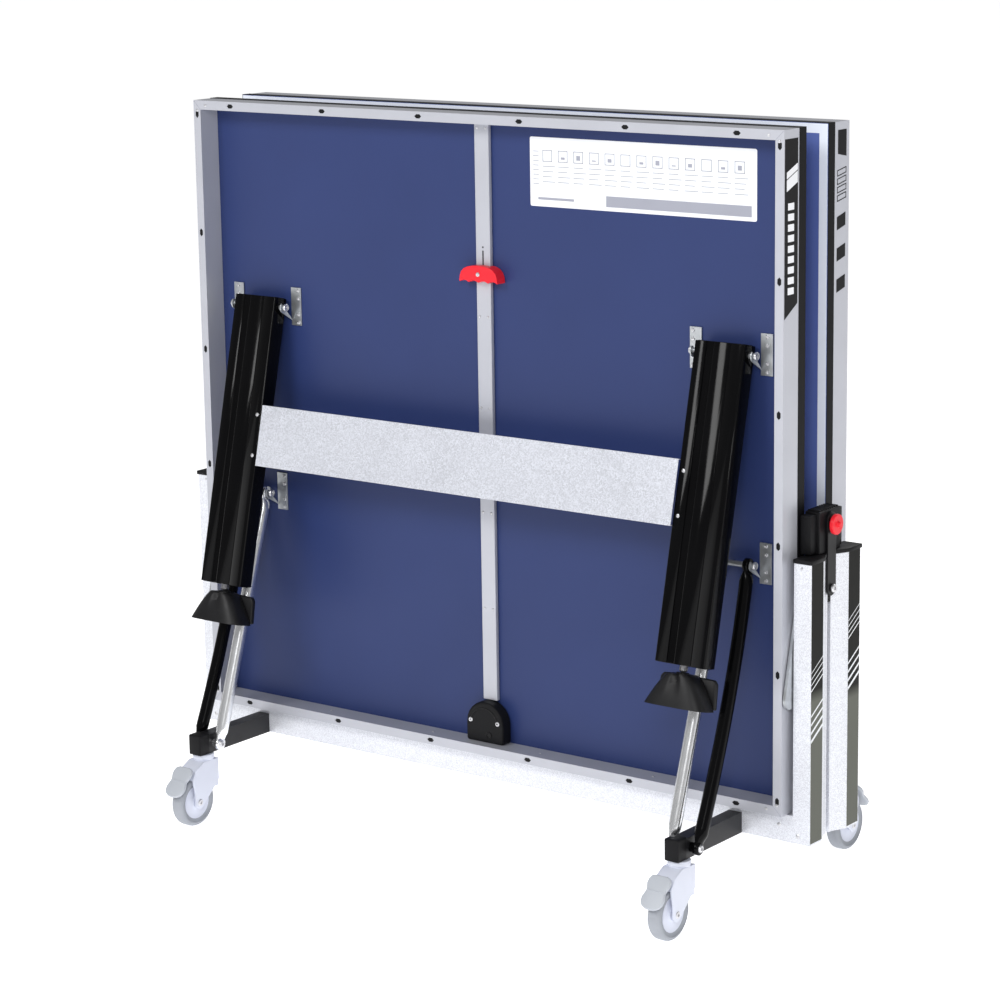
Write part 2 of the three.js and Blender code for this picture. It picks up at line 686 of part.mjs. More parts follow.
// A two-lobed foot pedal over the back of the wheel, on a hub between the fork's cheeks.
function brakePedal() {
  const tip = [WHEEL_BACK_Y - PEDAL_PLATE * 1.8, PEDAL_HUB[1] - PEDAL_DROP];
  const arm = CHEEK_IN - RUNNING;
  const head = PEDAL_WIDTH / 2;
  const side = stadium(PEDAL_HUB, tip, PEDAL_PLATE);
  const pastY = tip[0] - PEDAL_PLATE * 2;
  const heights = [tip[1] - PEDAL_PLATE * 2, CROWN_TOP];
  const lobes = block([-head, head], [pastY, CHEEK_BACK_Y - CHEEK_GAP], heights);
  const notch = block([-PEDAL_NOTCH, PEDAL_NOTCH], [pastY, tip[0] + PEDAL_PLATE], heights);
  return plateX(side, [-arm, arm])
    .add(plateX(side, [-head, head]).intersect(lobes))
    .subtract(notch);
}

// ---- Side locks --------------------------------------------------------------------------------

const LOCK_X = HALF_WIDTH + LOCK_IN;
const LOCK_OUT = LOCK_X + LOCK_WIDTH;
const LOCK_PLATE_OUT = LOCK_OUT + TOUCH + LOCK_PLATE;
const LOCK_BOLT = [0, UPRIGHT_TOP - LOCK_BOLT_DROP];
const LOCK_PLATE_TOP = [0, LOCK_BOLT[1] + LOCK_PLATE_LENGTH];
const KNOB_AT = [0, LOCK_PLATE_TOP[1] - KNOB_DROP];

// A round bar or bore along the knob's axis, from one x to another on the side of the table.
const onKnobAxis = (side, from, to, radius, sides) =>
  pin([side * from, side * to], ...KNOB_AT, radius, sides);

// A block above the uprights, with a tongue that is bolted between their noses.
function lockHousing(side) {
  const low = UPRIGHT_TOP + CHEEK_GAP;
  const across = [-LOCK_TONGUE / 2, LOCK_TONGUE / 2];
  const deep = [-LOCK_DEPTH / 2, LOCK_DEPTH / 2];
  return join(
    block([side * LOCK_X, side * LOCK_OUT], deep, [low, low + LOCK_HEIGHT]),
    block([side * (UPRIGHT_IN + TOUCH), side * LOCK_OUT], across, [low - TONGUE_LENGTH, low + 1]),
  ).subtract(onKnobAxis(side, LOCK_OUT - LOCK_BORE, LOCK_OUT + 1, PIN_RADIUS + RUNNING));
}

// A flat plate over the housing and the tongue, with the head of its bolt.
function lockPlate(side) {
  const plate = [side * (LOCK_OUT + TOUCH), side * LOCK_PLATE_OUT];
  return join(
    plateX(stadium(LOCK_BOLT, LOCK_PLATE_TOP, LOCK_ROUND), plate),
    pin([plate[0], side * (LOCK_PLATE_OUT + 4)], ...LOCK_BOLT, PIN_RADIUS + 2),
  ).subtract(onKnobAxis(side, LOCK_OUT, LOCK_PLATE_OUT + 1, PIN_RADIUS + RUNNING));
}

// A round pull knob on the lock's pin.
function lockKnob(side) {
  const start = LOCK_PLATE_OUT + RUNNING;
  const end = start + KNOB_LENGTH;
  const neck = KNOB_LENGTH / 3;
  return join(
    onKnobAxis(side, LOCK_OUT - LOCK_BORE + RUNNING, start + 1, PIN_RADIUS),
    onKnobAxis(side, start, start + neck + 1, KNOB_RADIUS * 0.55),
    onKnobAxis(side, start + neck, end, KNOB_RADIUS, ROUND_SIDES),
    onKnobAxis(side, end - 1, end + PIN_RADIUS, PIN_RADIUS),
  );
}

// ---- Assembly ----------------------------------------------------------------------------------

const SIDES = { left: -1, right: 1 };

function halfTable(name) {
  const half = new THREE.Group();
  half.add(
    mesh(`${name}_chassis`, chassis(), material.frame),
    mesh(`${name}_playing_top`, playingTop(), material.top),
    mesh(`${name}_frame`, frame(), material.frame),
    mesh(`${name}_centre_rail`, centreRail(), material.frame),
    mesh(`${name}_latch_housing`, latchHousing(), material.black),
    mesh(`${name}_release_handle`, releaseHandle(), material.red),
  );

  const legs = new THREE.Group();
  legs.position.set(0, ...LEG_PIVOT);
  legs.rotation.x = -LEG_LEAN;
  legs.add(mesh(`${name}_cross_panel`, crossPanel(), material.galvanised));
  half.add(legs);

  for (const [word, side] of Object.entries(SIDES)) {
    legs.add(
      mesh(`${name}_leg_${word}`, leg(side), material.black),
      mesh(`${name}_foot_${word}`, foot(side), material.rubber),
    );
    half.add(
      mesh(`${name}_leg_bracket_${word}`, legBracket(side), material.zinc),
      mesh(`${name}_link_bracket_${word}`, linkBracket(side), material.zinc),
      mesh(`${name}_link_tube_${word}`, linkTube(side), material.bright),
      mesh(`${name}_support_bar_${word}`, supportBar(side), material.black),
      mesh(`${name}_swing_arm_${word}`, swingArm(side), material.zinc),
    );
    const caster = new THREE.Group();
    caster.position.set(side * OUTRIGGER_X, -SWIVEL_Y, 0);
    caster.add(
      mesh(`${name}_caster_fork_${word}`, casterFork(), material.grey),
      mesh(`${name}_caster_wheel_${word}`, casterWheel(), material.tyre),
      mesh(`${name}_brake_pedal_${word}`, brakePedal(), material.grey),
    );
    half.add(caster);
  }
  return half;
}

const table = new THREE.Group();
table.add(halfTable("near"));
const farHalf = halfTable("far");
farHalf.rotation.z = Math.PI;
table.add(farHalf);
for (const [word, side] of Object.entries(SIDES)) {
  table.add(
    mesh(`lock_housing_${word}`, lockHousing(side), material.black),
    mesh(`lock_plate_${word}`, lockPlate(side), material.black),
    mesh(`lock_knob_${word}`, lockKnob(side), material.red),
  );
}

export default table;
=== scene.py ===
"""Looks for a folding table-tennis table that stands folded on its casters.

Each piece is modelled on the near half, on its +X side where it has a side, and is then turned into
place. Lengths are in metres. Places come from the boxes of the CAD nodes.
"""

import json
from math import cos, pi, radians, sin

import bmesh
import bpy
from mathutils import Matrix, Vector


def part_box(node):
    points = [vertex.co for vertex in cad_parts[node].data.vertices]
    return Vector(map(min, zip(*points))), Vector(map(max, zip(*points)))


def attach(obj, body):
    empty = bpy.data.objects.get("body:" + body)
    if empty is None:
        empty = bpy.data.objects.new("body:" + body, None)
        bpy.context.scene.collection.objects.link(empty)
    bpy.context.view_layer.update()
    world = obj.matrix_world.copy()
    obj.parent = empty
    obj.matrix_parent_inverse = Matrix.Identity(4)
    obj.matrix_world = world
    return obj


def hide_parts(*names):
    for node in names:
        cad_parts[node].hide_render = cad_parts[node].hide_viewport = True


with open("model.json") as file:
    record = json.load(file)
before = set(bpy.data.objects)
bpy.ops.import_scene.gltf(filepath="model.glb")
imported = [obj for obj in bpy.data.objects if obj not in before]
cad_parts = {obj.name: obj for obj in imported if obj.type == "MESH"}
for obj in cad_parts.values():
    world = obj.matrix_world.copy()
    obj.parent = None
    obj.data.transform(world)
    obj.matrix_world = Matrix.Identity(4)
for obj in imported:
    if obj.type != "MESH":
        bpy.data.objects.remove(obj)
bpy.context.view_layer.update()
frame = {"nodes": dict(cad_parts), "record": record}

HALVES = {"near": Matrix.Identity(4), "far": Matrix.Rotation(pi, 4, "Z")}
SIDES = {"left": -1, "right": 1}
SKIN = 0.0004  # thickness of paint lines and stickers


# ---- Places from the frame ----

board_low, board_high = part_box("near_playing_top")
frame_low, frame_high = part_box("near_frame")
rail_low, rail_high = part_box("near_centre_rail")
chassis_low, chassis_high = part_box("near_chassis")
joint_place = {
    joint["name"]: Vector(joint.get("pos_m") or (0, 0, 0)) for joint in frame["record"]["behaviour"]["joints"]
}


# ---- Materials ----

OUTRIGGER_REACH = 0.2318  # of the outriggers, in front of the beam
# The playing face's painted sheen reaches this far into the board.
SHEEN_FACE_DEPTH = 0.0014  # of the lighter blue, into the board


class Look:
    """A Principled material whose colour, roughness and bump are made by noise on object coordinates."""

    def __init__(self, name, roughness, metallic=0.0, gloss=0.5):
        self.material = bpy.data.materials.new(name)
        self.material.use_nodes = True
        self.tree = self.material.node_tree
        self.shader = self.tree.nodes["Principled BSDF"]
        self.shader.inputs["Roughness"].default_value = roughness
        self.shader.inputs["Metallic"].default_value = metallic
        self.shader.inputs["Specular IOR Level"].default_value = gloss
        self.roughness = roughness
        self.place = self.node("ShaderNodeTexCoord").outputs["Object"]

    def node(self, kind, **settings):
        made = self.tree.nodes.new(kind)
        for key, value in settings.items():
            setattr(made, key, value)
        return made

    def link(self, source, target):
        self.tree.links.new(source, target)

    def stretched(self, stretch):
        mapping = self.node("ShaderNodeMapping")
        mapping.inputs["Scale"].default_value = stretch
        self.link(self.place, mapping.inputs["Vector"])
        return mapping.outputs["Vector"]

    def noise(self, scale, detail=3.0, stretch=None):
        made = self.node("ShaderNodeTexNoise")
        made.inputs["Scale"].default_value = scale
        made.inputs["Detail"].default_value = detail
        self.link(self.stretched(stretch) if stretch else self.place, made.inputs["Vector"])
        return made.outputs["Fac"]

    def cells(self, scale):
        made = self.node("ShaderNodeTexVoronoi")
        made.inputs["Scale"].default_value = scale
        self.link(self.place, made.inputs["Vector"])
        split = self.node("ShaderNodeSeparateColor")
        self.link(made.outputs["Color"], split.inputs["Color"])
        return split.outputs["Red"]

    def ramp(self, factor, stops):
        made = self.node("ShaderNodeValToRGB")
        elements = made.color_ramp.elements
        while len(elements) < len(stops):
            elements.new(0.5)
        for element, (position, colour) in zip(elements, stops):
            element.position = position
            element.color = (*colour, 1)
        self.link(factor, made.inputs["Fac"])
        return made.outputs["Color"]

    def height(self, axis, low, high):
        """Goes from 0 at low to 1 at high, along an axis of the object."""
        split = self.node("ShaderNodeSeparateXYZ")
        self.link(self.place, split.inputs["Vector"])
        made = self.node("ShaderNodeMapRange")
        made.inputs["From Min"].default_value = low
        made.inputs["From Max"].default_value = high
        self.link(split.outputs[axis], made.inputs["Value"])
        return made.outputs["Result"]

    def by_depth(self, operation, limit):
        """Is 1 where the distance from the middle plane passes a test against a limit, and 0 elsewhere."""
        split = self.node("ShaderNodeSeparateXYZ")
        self.link(self.place, split.inputs["Vector"])
        away = self.node("ShaderNodeMath", operation="ABSOLUTE")
        self.link(split.outputs["Y"], away.inputs[0])
        test = self.node("ShaderNodeMath", operation=operation)
        test.inputs[1].default_value = limit
        self.link(away.outputs[0], test.inputs[0])
        return test.outputs[0]

    def mix(self, factor, first, second):
        made = self.node("ShaderNodeMix", data_type="RGBA")
        self.link(factor, made.inputs[0])
        self.link(first, made.inputs[6])
        self.link(second, made.inputs[7])
        return made.outputs[2]

    def colour(self, output):
        self.link(output, self.shader.inputs["Base Color"])
        return self

    def mottle(self, base, spread, scale, stretch=None):
        """A base colour that is lighter and darker by a share, in soft patches."""
        dark = [c * (1 - spread) for c in base]
        light = [min(1, c * (1 + spread)) for c in base]
        return self.ramp(self.noise(scale, stretch=stretch), [(0.3, dark), (0.7, light)])

    def rough(self, spread, scale, stretch=None):
        made = self.node("ShaderNodeMapRange")
        made.inputs["To Min"].default_value = self.roughness - spread
        made.inputs["To Max"].default_value = self.roughness + spread
        self.link(self.noise(scale, stretch=stretch), made.inputs["Value"])
        self.link(made.outputs["Result"], self.shader.inputs["Roughness"])
        return self

    def bump(self, depth, scale, stretch=None):
        made = self.node("ShaderNodeBump")
        made.inputs["Strength"].default_value = 0.6
        made.inputs["Distance"].default_value = depth
        self.link(self.noise(scale, stretch=stretch), made.inputs["Height"])
        self.link(made.outputs["Normal"], self.shader.inputs["Normal"])
        return self


def plain(name, base, roughness, metallic=0.0, spread=0.05, scale=9.0, grain=(0.00006, 900.0), gloss=0.5):
    """Paint, plastic or metal with soft patches, and a fine grain given as its depth and scale."""
    look = Look(name, roughness, metallic, gloss)
    return look.colour(look.mottle(base, spread, scale)).rough(0.04, scale * 3).bump(*grain).material


def speckled(name, base, spread, size, roughness, metallic):
    """Galvanised sheet: small crystals, each a little lighter or darker, over soft patches."""
    look = Look(name, roughness, metallic)
    dark = [c * (1 - spread) for c in base]
    crystals = look.ramp(look.cells(1 / size), [(0.1, dark), (0.9, base)])
    patches = look.ramp(look.noise(6), [(0.3, dark), (0.8, base)])
    share = look.ramp(look.noise(40), [(0.35, (0.55,) * 3), (0.65, (0.95,) * 3)])
    return look.colour(look.mix(share, patches, crystals)).rough(0.06, 1 / size).bump(0.00005, 700).material


def chassis_paint():
    """Speckled silver for the beam and uprights, and black for the outriggers in front of them."""
    look = Look("chassis_paint", 0.42, 0.35)
    silver = look.ramp(look.cells(700), [(0.1, (0.66, 0.67, 0.72)), (0.9, (0.88, 0.9, 0.95))])
    black = look.mottle((0.012, 0.012, 0.014), 0.2, 30)
    outside = look.by_depth("GREATER_THAN", -chassis_low.y - OUTRIGGER_REACH)
    return look.colour(look.mix(outside, silver, black)).rough(0.05, 60).bump(0.00004, 800).material


def board_paint_and_sheen():
    """Blue board: the playing face is a little lighter than the underside, as a painted sheen."""
    look = Look("board_blue_and_sheen", 0.42, gloss=0.3)
    under = look.mottle((0.022, 0.038, 0.135), 0.05, 3)
    # Painted sheen: the lighter blue of the playing face.
    playing = look.mottle((0.09, 0.13, 0.36), 0.04, 3)
    inner = look.by_depth("LESS_THAN", -board_high.y + SHEEN_FACE_DEPTH)
    return look.colour(look.mix(inner, under, playing)).rough(0.04, 9).bump(0.00008, 650).material


def brushed(name, base, roughness, stretch):
    """Bright metal with fine lines along the axis that stretch makes long."""
    look = Look(name, roughness, 0.95)
    look.colour(look.mottle(base, 0.06, 60, stretch)).rough(0.04, 80, stretch)
    return look.bump(0.000006, 900, stretch).material


def fading(name, top, bottom, low, high):
    """A film whose colour changes between two heights."""
    look = Look(name, 0.38, gloss=0.08)
    fade = look.ramp(look.height("Z", low, high), [(0.0, bottom), (1.0, top)])
    return look.colour(fade).rough(0.04, 40).bump(0.00003, 700).material


board_blue_and_sheen = board_paint_and_sheen()
board_edge = plain("board_edge_black", (0.004, 0.004, 0.005), 0.5, gloss=0.1)
line_white = plain("line_white", (0.8, 0.84, 0.92), 0.5, spread=0.02)
silver_paint = plain("silver_paint", (0.49, 0.5, 0.55), 0.36, 0.3, spread=0.03, grain=(0.00004, 1200))
galvanised = speckled("galvanised", (0.75, 0.77, 0.84), 0.3, 0.0024, 0.42, 0.3)
chassis_look = chassis_paint()
leg_black = plain("leg_black", (0.0022, 0.0022, 0.0026), 0.12, spread=0.2, grain=(0.00002, 1500), gloss=0.12)
satin_black = plain("satin_black", (0.006, 0.006, 0.007), 0.38, spread=0.2, gloss=0.22)
zinc = plain("zinc_plate", (0.5, 0.52, 0.54), 0.36, 0.85, spread=0.14, scale=45, grain=(0.00004, 600))
bright_tube = brushed("bright_tube", (0.88, 0.89, 0.91), 0.24, (1, 1, 0.03))
steel = plain("screw_steel", (0.68, 0.68, 0.7), 0.3, 0.9, spread=0.1, scale=200)
moulded_black = plain(
    "moulded_black", (0.007, 0.007, 0.008), 0.5, spread=0.15, grain=(0.0001, 700), gloss=0.16
)
rubber = plain(
    "foot_rubber", (0.008, 0.008, 0.009), 0.42, spread=0.25, scale=25, grain=(0.00014, 420), gloss=0.26
)
red_plastic = plain("red_plastic", (0.84, 0.016, 0.03), 0.36, spread=0.04, grain=(0.00005, 500), gloss=0.3)
grey_plastic = plain("grey_plastic", (0.74, 0.77, 0.88), 0.42, spread=0.03, grain=(0.00006, 800))
pedal_grey = plain("pedal_grey", (0.52, 0.55, 0.6), 0.45, spread=0.04, grain=(0.00006, 800))
tyre_grey = plain("tyre_grey", (0.36, 0.38, 0.42), 0.6, spread=0.07, scale=20, grain=(0.00012, 500))
vinyl_white = plain("vinyl_white", (0.84, 0.85, 0.88), 0.42, spread=0.02)
print_grey = plain("print_grey", (0.33, 0.34, 0.4), 0.5, spread=0.04)
# Black for the print on the side labels, and painted shade for the rail's slit.
decal_and_shade_black = plain("decal_and_shade_black", (0.004, 0.004, 0.005), 0.34, spread=0.1, gloss=0.1)
DECAL_TOP, DECAL_LOW = (0.004, 0.004, 0.003), (0.13, 0.135, 0.115)
upright_black = {
    "right": fading("upright_black_right", DECAL_TOP, DECAL_LOW, 0.455, 0.48),
    "left": fading("upright_black_left", DECAL_TOP, DECAL_LOW, 0.43, 0.455),
}


# ---- Modelling helpers ----


def finish_piece(name, bm, look, body, half="near", side=1, replaces=(), sharp=32):
    """Turns near, +X side geometry into its place, makes it an object and lets it ride on its body."""
    bm.transform(HALVES[half] @ Matrix.Diagonal((side, 1, 1, 1)))
    bmesh.ops.remove_doubles(bm, verts=bm.verts, dist=1e-6)
    bmesh.ops.recalc_face_normals(bm, faces=bm.faces)
    for face in bm.faces:
        face.smooth = True
    for edge in bm.edges:
        edge.smooth = len(edge.link_faces) == 2 and edge.calc_face_angle(0) < radians(sharp)
    data = bpy.data.meshes.new(name)
    bm.to_mesh(data)
    bm.free()
    data.materials.append(look)
    piece = bpy.data.objects.new(name, data)
    bpy.context.collection.objects.link(piece)
    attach(piece, body)
    if replaces:
        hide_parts(*replaces)
    return piece


def merge(target, source):
    """Adds a bmesh to another and frees it."""
    data = bpy.data.meshes.new("part")
    source.to_mesh(data)
    source.free()
    target.from_mesh(data)
    bpy.data.meshes.remove(data)


def rounded(bm, width, segments=2):
    """Rounds each edge that is sharper than 30 degrees."""
    if not width:
        return
    edges = [e for e in bm.edges if len(e.link_faces) == 2 and e.calc_face_angle(0) > radians(30)]
    bmesh.ops.bevel(
        bm, geom=edges, offset=width, segments=segments, profile=0.5, affect="EDGES", clamp_overlap=True
    )


def add_box(bm, low, high, bevel=0.0, segments=2):
    part = bmesh.new()
    size = [b - a for a, b in zip(low, high)]
    centre = [(a + b) / 2 for a, b in zip(low, high)]
    bmesh.ops.create_cube(part, size=1, matrix=Matrix.Translation(centre) @ Matrix.Diagonal((*size, 1)))
    rounded(part, bevel, segments)
    merge(bm, part)


def add_skin(bm, rings):
    """Faces between rings of vertices, and one over each end."""
    for first, second in zip(rings, rings[1:]):
        for k in range(len(first)):
            n = (k + 1) % len(first)
            bm.faces.new((first[k], first[n], second[n], second[k]))
    bm.faces.new(reversed(rings[0]))
    bm.faces.new(rings[-1])


def add_prism(bm, outline, place, depth, bevel=0.0, segments=2):
    """An outline in the local x, y plane, pushed along local z by a depth and put in place by a matrix."""
    part = bmesh.new()
    add_skin(part, [[part.verts.new((x, y, z)) for x, y in outline] for z in (0, depth)])
    bmesh.ops.recalc_face_normals(part, faces=part.faces)
    rounded(part, bevel, segments)
    part.transform(place)
    merge(bm, part)


def add_lathe(bm, profile, place, steps=24):
    """A closed turned body: radius and height pairs from one end of the local z axis to the other."""
    part = bmesh.new()
    rings = []
    for radius, height in profile:
        if radius == 0:
            rings.append([part.verts.new((0, 0, height))])
        else:
            turns = [2 * pi * k / steps for k in range(steps)]
            rings.append([part.verts.new((radius * cos(t), radius * sin(t), height)) for t in turns])
    for first, second in zip(rings, rings[1:]):
        for k in range(steps):
            corners = [first[k % len(first)], first[(k + 1) % len(first)]]
            corners += [second[(k + 1) % len(second)], second[k % len(second)]]
            corners = list(dict.fromkeys(corners))
            if len(corners) > 2:
                part.faces.new(corners)
    part.transform(place)
    merge(bm, part)


def arc(centre, radius, start, end, steps):
    """Points on an arc, with angles in degrees."""
    angles = [radians(start + (end - start) * k / steps) for k in range(steps + 1)]
    return [(centre[0] + radius * cos(a), centre[1] + radius * sin(a)) for a in angles]


def rounded_rectangle(width, height, radius, steps=4):
    points = []
    for (sx, sy), start in zip([(1, 1), (-1, 1), (-1, -1), (1, -1)], [0, 90, 180, 270]):
        centre = (sx * (width / 2 - radius), sy * (height / 2 - radius))
        points += arc(centre, radius, start, start + 90, steps)
    return points


def facing(direction, origin):
    """A matrix that puts local z along a direction, local x level and the local origin at a point."""
    z = Vector(direction).normalized()
    up = Vector((0, 0, 1)) if abs(z.z) < 0.9 else Vector((0, 1, 0))
    x = up.cross(z).normalized()
    turn = Matrix((x, z.cross(x), z)).transposed().to_4x4()
    return Matrix.Translation(origin) @ turn


FRONT = (0, -1, 0)
OUTER = (1, 0, 0)


def add_screw(bm, origin, direction=FRONT, radius=0.0042, proud=0.0022):
    """A round head with a hexagon socket."""
    socket = radius * 0.42
    head = [(0, -0.001), (radius, -0.001), (radius, proud * 0.35)]
    head += [(radius * 0.82, proud * 0.85), (socket * 1.15, proud), (socket, proud * 0.9)]
    head += [(socket * 0.9, proud * 0.25), (0, proud * 0.2)]
    add_lathe(bm, head, facing(direction, origin), 18)


def add_rivet(bm, origin, direction=FRONT, radius=0.0032):
    dome = [(0, -0.001), (radius, -0.001), (radius, 0.0003), (radius * 0.8, 0.0011), (radius * 0.35, 0.0015)]
    add_lathe(bm, [*dome, (radius * 0.3, 0.0008), (0, 0.0007)], facing(direction, origin), 14)


def soften(node, width, look, segments=2, flatten=True):
    """Keeps a CAD node, with rounded edges and a new material."""
    shown = frame["nodes"][node]
    data = shown.data
    for extra in ("custom_normal", "sharp_face", "sharp_edge"):
        if extra in data.attributes:
            data.attributes.remove(data.attributes[extra])
    for face in data.polygons:
        face.use_smooth = True
    data.materials.clear()
    data.materials.append(look)
    shown.modifiers.new("join", "WELD").merge_threshold = 1e-5
    if flatten:
        flat = shown.modifiers.new("flat", "DECIMATE")
        flat.decimate_type = "DISSOLVE"
        flat.angle_limit = radians(1)
    edge = shown.modifiers.new("edge", "BEVEL")
    edge.width = width
    edge.segments = segments
    edge.limit_method = "ANGLE"
    edge.angle_limit = radians(33)
    edge.use_clamp_overlap = True
    even = shown.modifiers.new("even", "WEIGHTED_NORMAL")
    even.keep_sharp = True


# ---- Boards ----

SIDE_LINE = 0.02
CENTRE_LINE = 0.003


def add_ring(bm, outer_low, outer_high, wall, depths):
    """A rectangular band in the x, z plane."""
    bands = [
        ((outer_low[0], outer_low[1]), (outer_low[0] + wall, outer_high[1])),
        ((outer_high[0] - wall, outer_low[1]), (outer_high[0], outer_high[1])),
        ((outer_low[0] + wall, outer_low[1]), (outer_high[0] - wall, outer_low[1] + wall)),
        ((outer_low[0] + wall, outer_high[1] - wall), (outer_high[0] - wall, outer_high[1])),
    ]
    for (x0, z0), (x1, z1) in bands:
        add_box(bm, (x0, depths[0], z0), (x1, depths[1], z1))


def make_board(half):
    soften(f"{half}_playing_top", 0.0012, board_blue_and_sheen)
    band = bmesh.new()
    low = (board_low.x - 2 * SKIN, board_low.z - 2 * SKIN)
    high = (board_high.x + 2 * SKIN, board_high.z + 2 * SKIN)
    add_ring(band, low, high, 3 * SKIN, (board_low.y + SKIN, board_high.y - SKIN))
    finish_piece(f"{half}_edge_band", band, board_edge, f"{half}_table", half)
    lines = bmesh.new()
    face = (board_high.y - SKIN, board_high.y + SKIN)
    inset = 0.0012
    low = (board_low.x + inset, board_low.z + inset)
    high = (board_high.x - inset, board_high.z - inset)
    across = SIDE_LINE - inset
    add_box(lines, (low[0], face[0], low[1]), (low[0] + across, face[1], high[1]))
    add_box(lines, (high[0] - across, face[0], low[1]), (high[0], face[1], high[1]))
    add_box(lines, (low[0] + across, face[0], high[1] - across), (high[0] - across, face[1], high[1]))
    centre = CENTRE_LINE / 2
    add_box(lines, (-centre, face[0], low[1]), (centre, face[1], high[1] - across))
    finish_piece(f"{half}_court_lines", lines, line_white, f"{half}_table", half)


# ---- Perimeter frame, rail, latch and handle ----

SLOTS_PER_SIDE = 6
SLOT_PITCH = 0.262
SLOT = (0.0186, 0.0096)
LIP = 0.02  # width of the frame's front face
RAIL_RIVETS = (rail_high.z - 0.012, 1.16, 0.966, 0.74, 0.53)


def slot_places():
    """The middle of each oval slot in the frame's front face, and whether it lies along x."""
    middle = (frame_low.z + frame_high.z) / 2
    edge = LIP / 2
    for k in range(SLOTS_PER_SIDE):
        along = (k - (SLOTS_PER_SIDE - 1) / 2) * SLOT_PITCH
        for z in (frame_low.z + edge, frame_high.z - edge):
            yield Vector((along, frame_low.y, z)), True
        for x in (frame_low.x + edge, frame_high.x - edge):
            yield Vector((x, frame_low.y, middle + along)), False


def make_frame(half):
    body = f"{half}_table"
    soften(f"{half}_frame", 0.0016, silver_paint)
    soften(f"{half}_centre_rail", 0.0015, silver_paint)
    plugs = bmesh.new()
    for place, level in slot_places():
        length, width = SLOT
        size = (length, width) if level else (width, length)
        outline = rounded_rectangle(*size, width * 0.499)
        add_prism(plugs, outline, facing(FRONT, place + Vector((0, 0.0032, 0))), 0.0024, 0.0006, 1)
    finish_piece(f"{half}_slot_plugs", plugs, moulded_black, body, half)

    rivets = bmesh.new()
    corner = LIP * 1.1
    for sx in (-1, 1):
        for z in (frame_low.z + corner, frame_high.z - corner):
            x = sx * (frame_high.x - corner * 0.5)
            add_rivet(rivets, (x, frame_low.y, z))
            x = sx * (frame_high.x - corner * 1.6)
            add_rivet(rivets, (x, frame_low.y, z + (LIP * 0.55 if z > 1 else -LIP * 0.55)))
    for z in RAIL_RIVETS:
        for sx in (-1, 1):
            add_rivet(rivets, (sx * 0.011, rail_low.y, z), radius=0.0028)
    for k in range(5):
        x = (k - 2) * 0.29 + 0.145 * (1 if k < 2 else -1)
        lift = frame_low.z + LIP
        add_rivet(rivets, (x, (frame_low.y + frame_high.y) / 2, lift), (0, 0, 1))
    finish_piece(f"{half}_frame_rivets", rivets, steel, body, half)

    seams = bmesh.new()
    for sx in (-1, 1):
        for sz, z in ((-1, frame_low.z), (1, frame_high.z)):
            outer = Vector((sx * frame_high.x, frame_low.y, z))
            inner = outer + Vector((-sx * LIP, 0, -sz * LIP))
            along = (inner - outer).normalized()
            wide = Vector((along.z, 0, -along.x)) * 0.0005
            ends = [outer + along * 0.002, inner]
            corners = [ends[0] - wide, ends[1] - wide, ends[1] + wide, ends[0] + wide]
            place = facing(FRONT, (0, frame_low.y, 0))
            flat = [(place.inverted() @ c).xy for c in corners]
            add_prism(seams, flat, place, SKIN / 2)
    finish_piece(f"{half}_corner_seams", seams, print_grey, body, half)


def make_latch(half):
    body = f"{half}_table"
    soften(f"{half}_latch_housing", 0.006, moulded_black, 3)
    low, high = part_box("near_latch_housing")
    screws = bmesh.new()
    for sx in (-1, 1):
        add_screw(screws, (sx * 0.036, low.y, low.z + 0.047), radius=0.0052)
    finish_piece(f"{half}_latch_screws", screws, steel, body, half)
    ribs = bmesh.new()
    radius = (high.x - low.x) / 2 - 0.012
    arch = arc((0, high.z - radius - 0.012), radius, 180, 0, 16)
    inner = [(x * 0.93, low.z + 0.03 + (z - low.z - 0.03) * 0.95) for x, z in arch]
    place = facing(FRONT, (0, low.y, 0))
    flat = [(place.inverted() @ Vector((x, low.y, z))).xy for x, z in [*arch, *reversed(inner)]]
    add_prism(ribs, flat, place, 0.0012, 0.0004, 1)
    hole = [(0, -0.001), (0.0075, -0.001), (0.0075, 0.0012), (0.0052, 0.0016), (0.0048, 0.0002), (0, 0.0001)]
    add_lathe(ribs, hole, facing(FRONT, (0.012, low.y, low.z + 0.018)), 18)
    finish_piece(f"{half}_latch_ribs", ribs, satin_black, body, half)

    soften(f"{half}_release_handle", 0.005, red_plastic, 3)
    low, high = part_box("near_release_handle")
    screw = bmesh.new()
    add_screw(screw, (0, low.y, (low.z + high.z) / 2), radius=0.0048)
    finish_piece(f"{half}_handle_screw", screw, steel, f"{half}_release_handle", half)
    # Painted shade: a black strip stands for the shade in the rail's slit, and a black dot sits above it.
    slit_shade = bmesh.new()
    wide, face = 0.0016, rail_low.y
    add_box(slit_shade, (-wide, face - SKIN / 2, high.z - 0.01), (wide, face + 0.001, high.z + 0.03))
    dot = [(0, -0.001), (0.002, -0.001), (0.002, SKIN / 2), (0, SKIN / 2)]
    add_lathe(slit_shade, dot, facing(FRONT, (0, face, high.z + 0.037)), 12)
    finish_piece(f"{half}_rail_slit", slit_shade, decal_and_shade_black, body, half)


# ---- Stickers: plain panels with no lettering ----


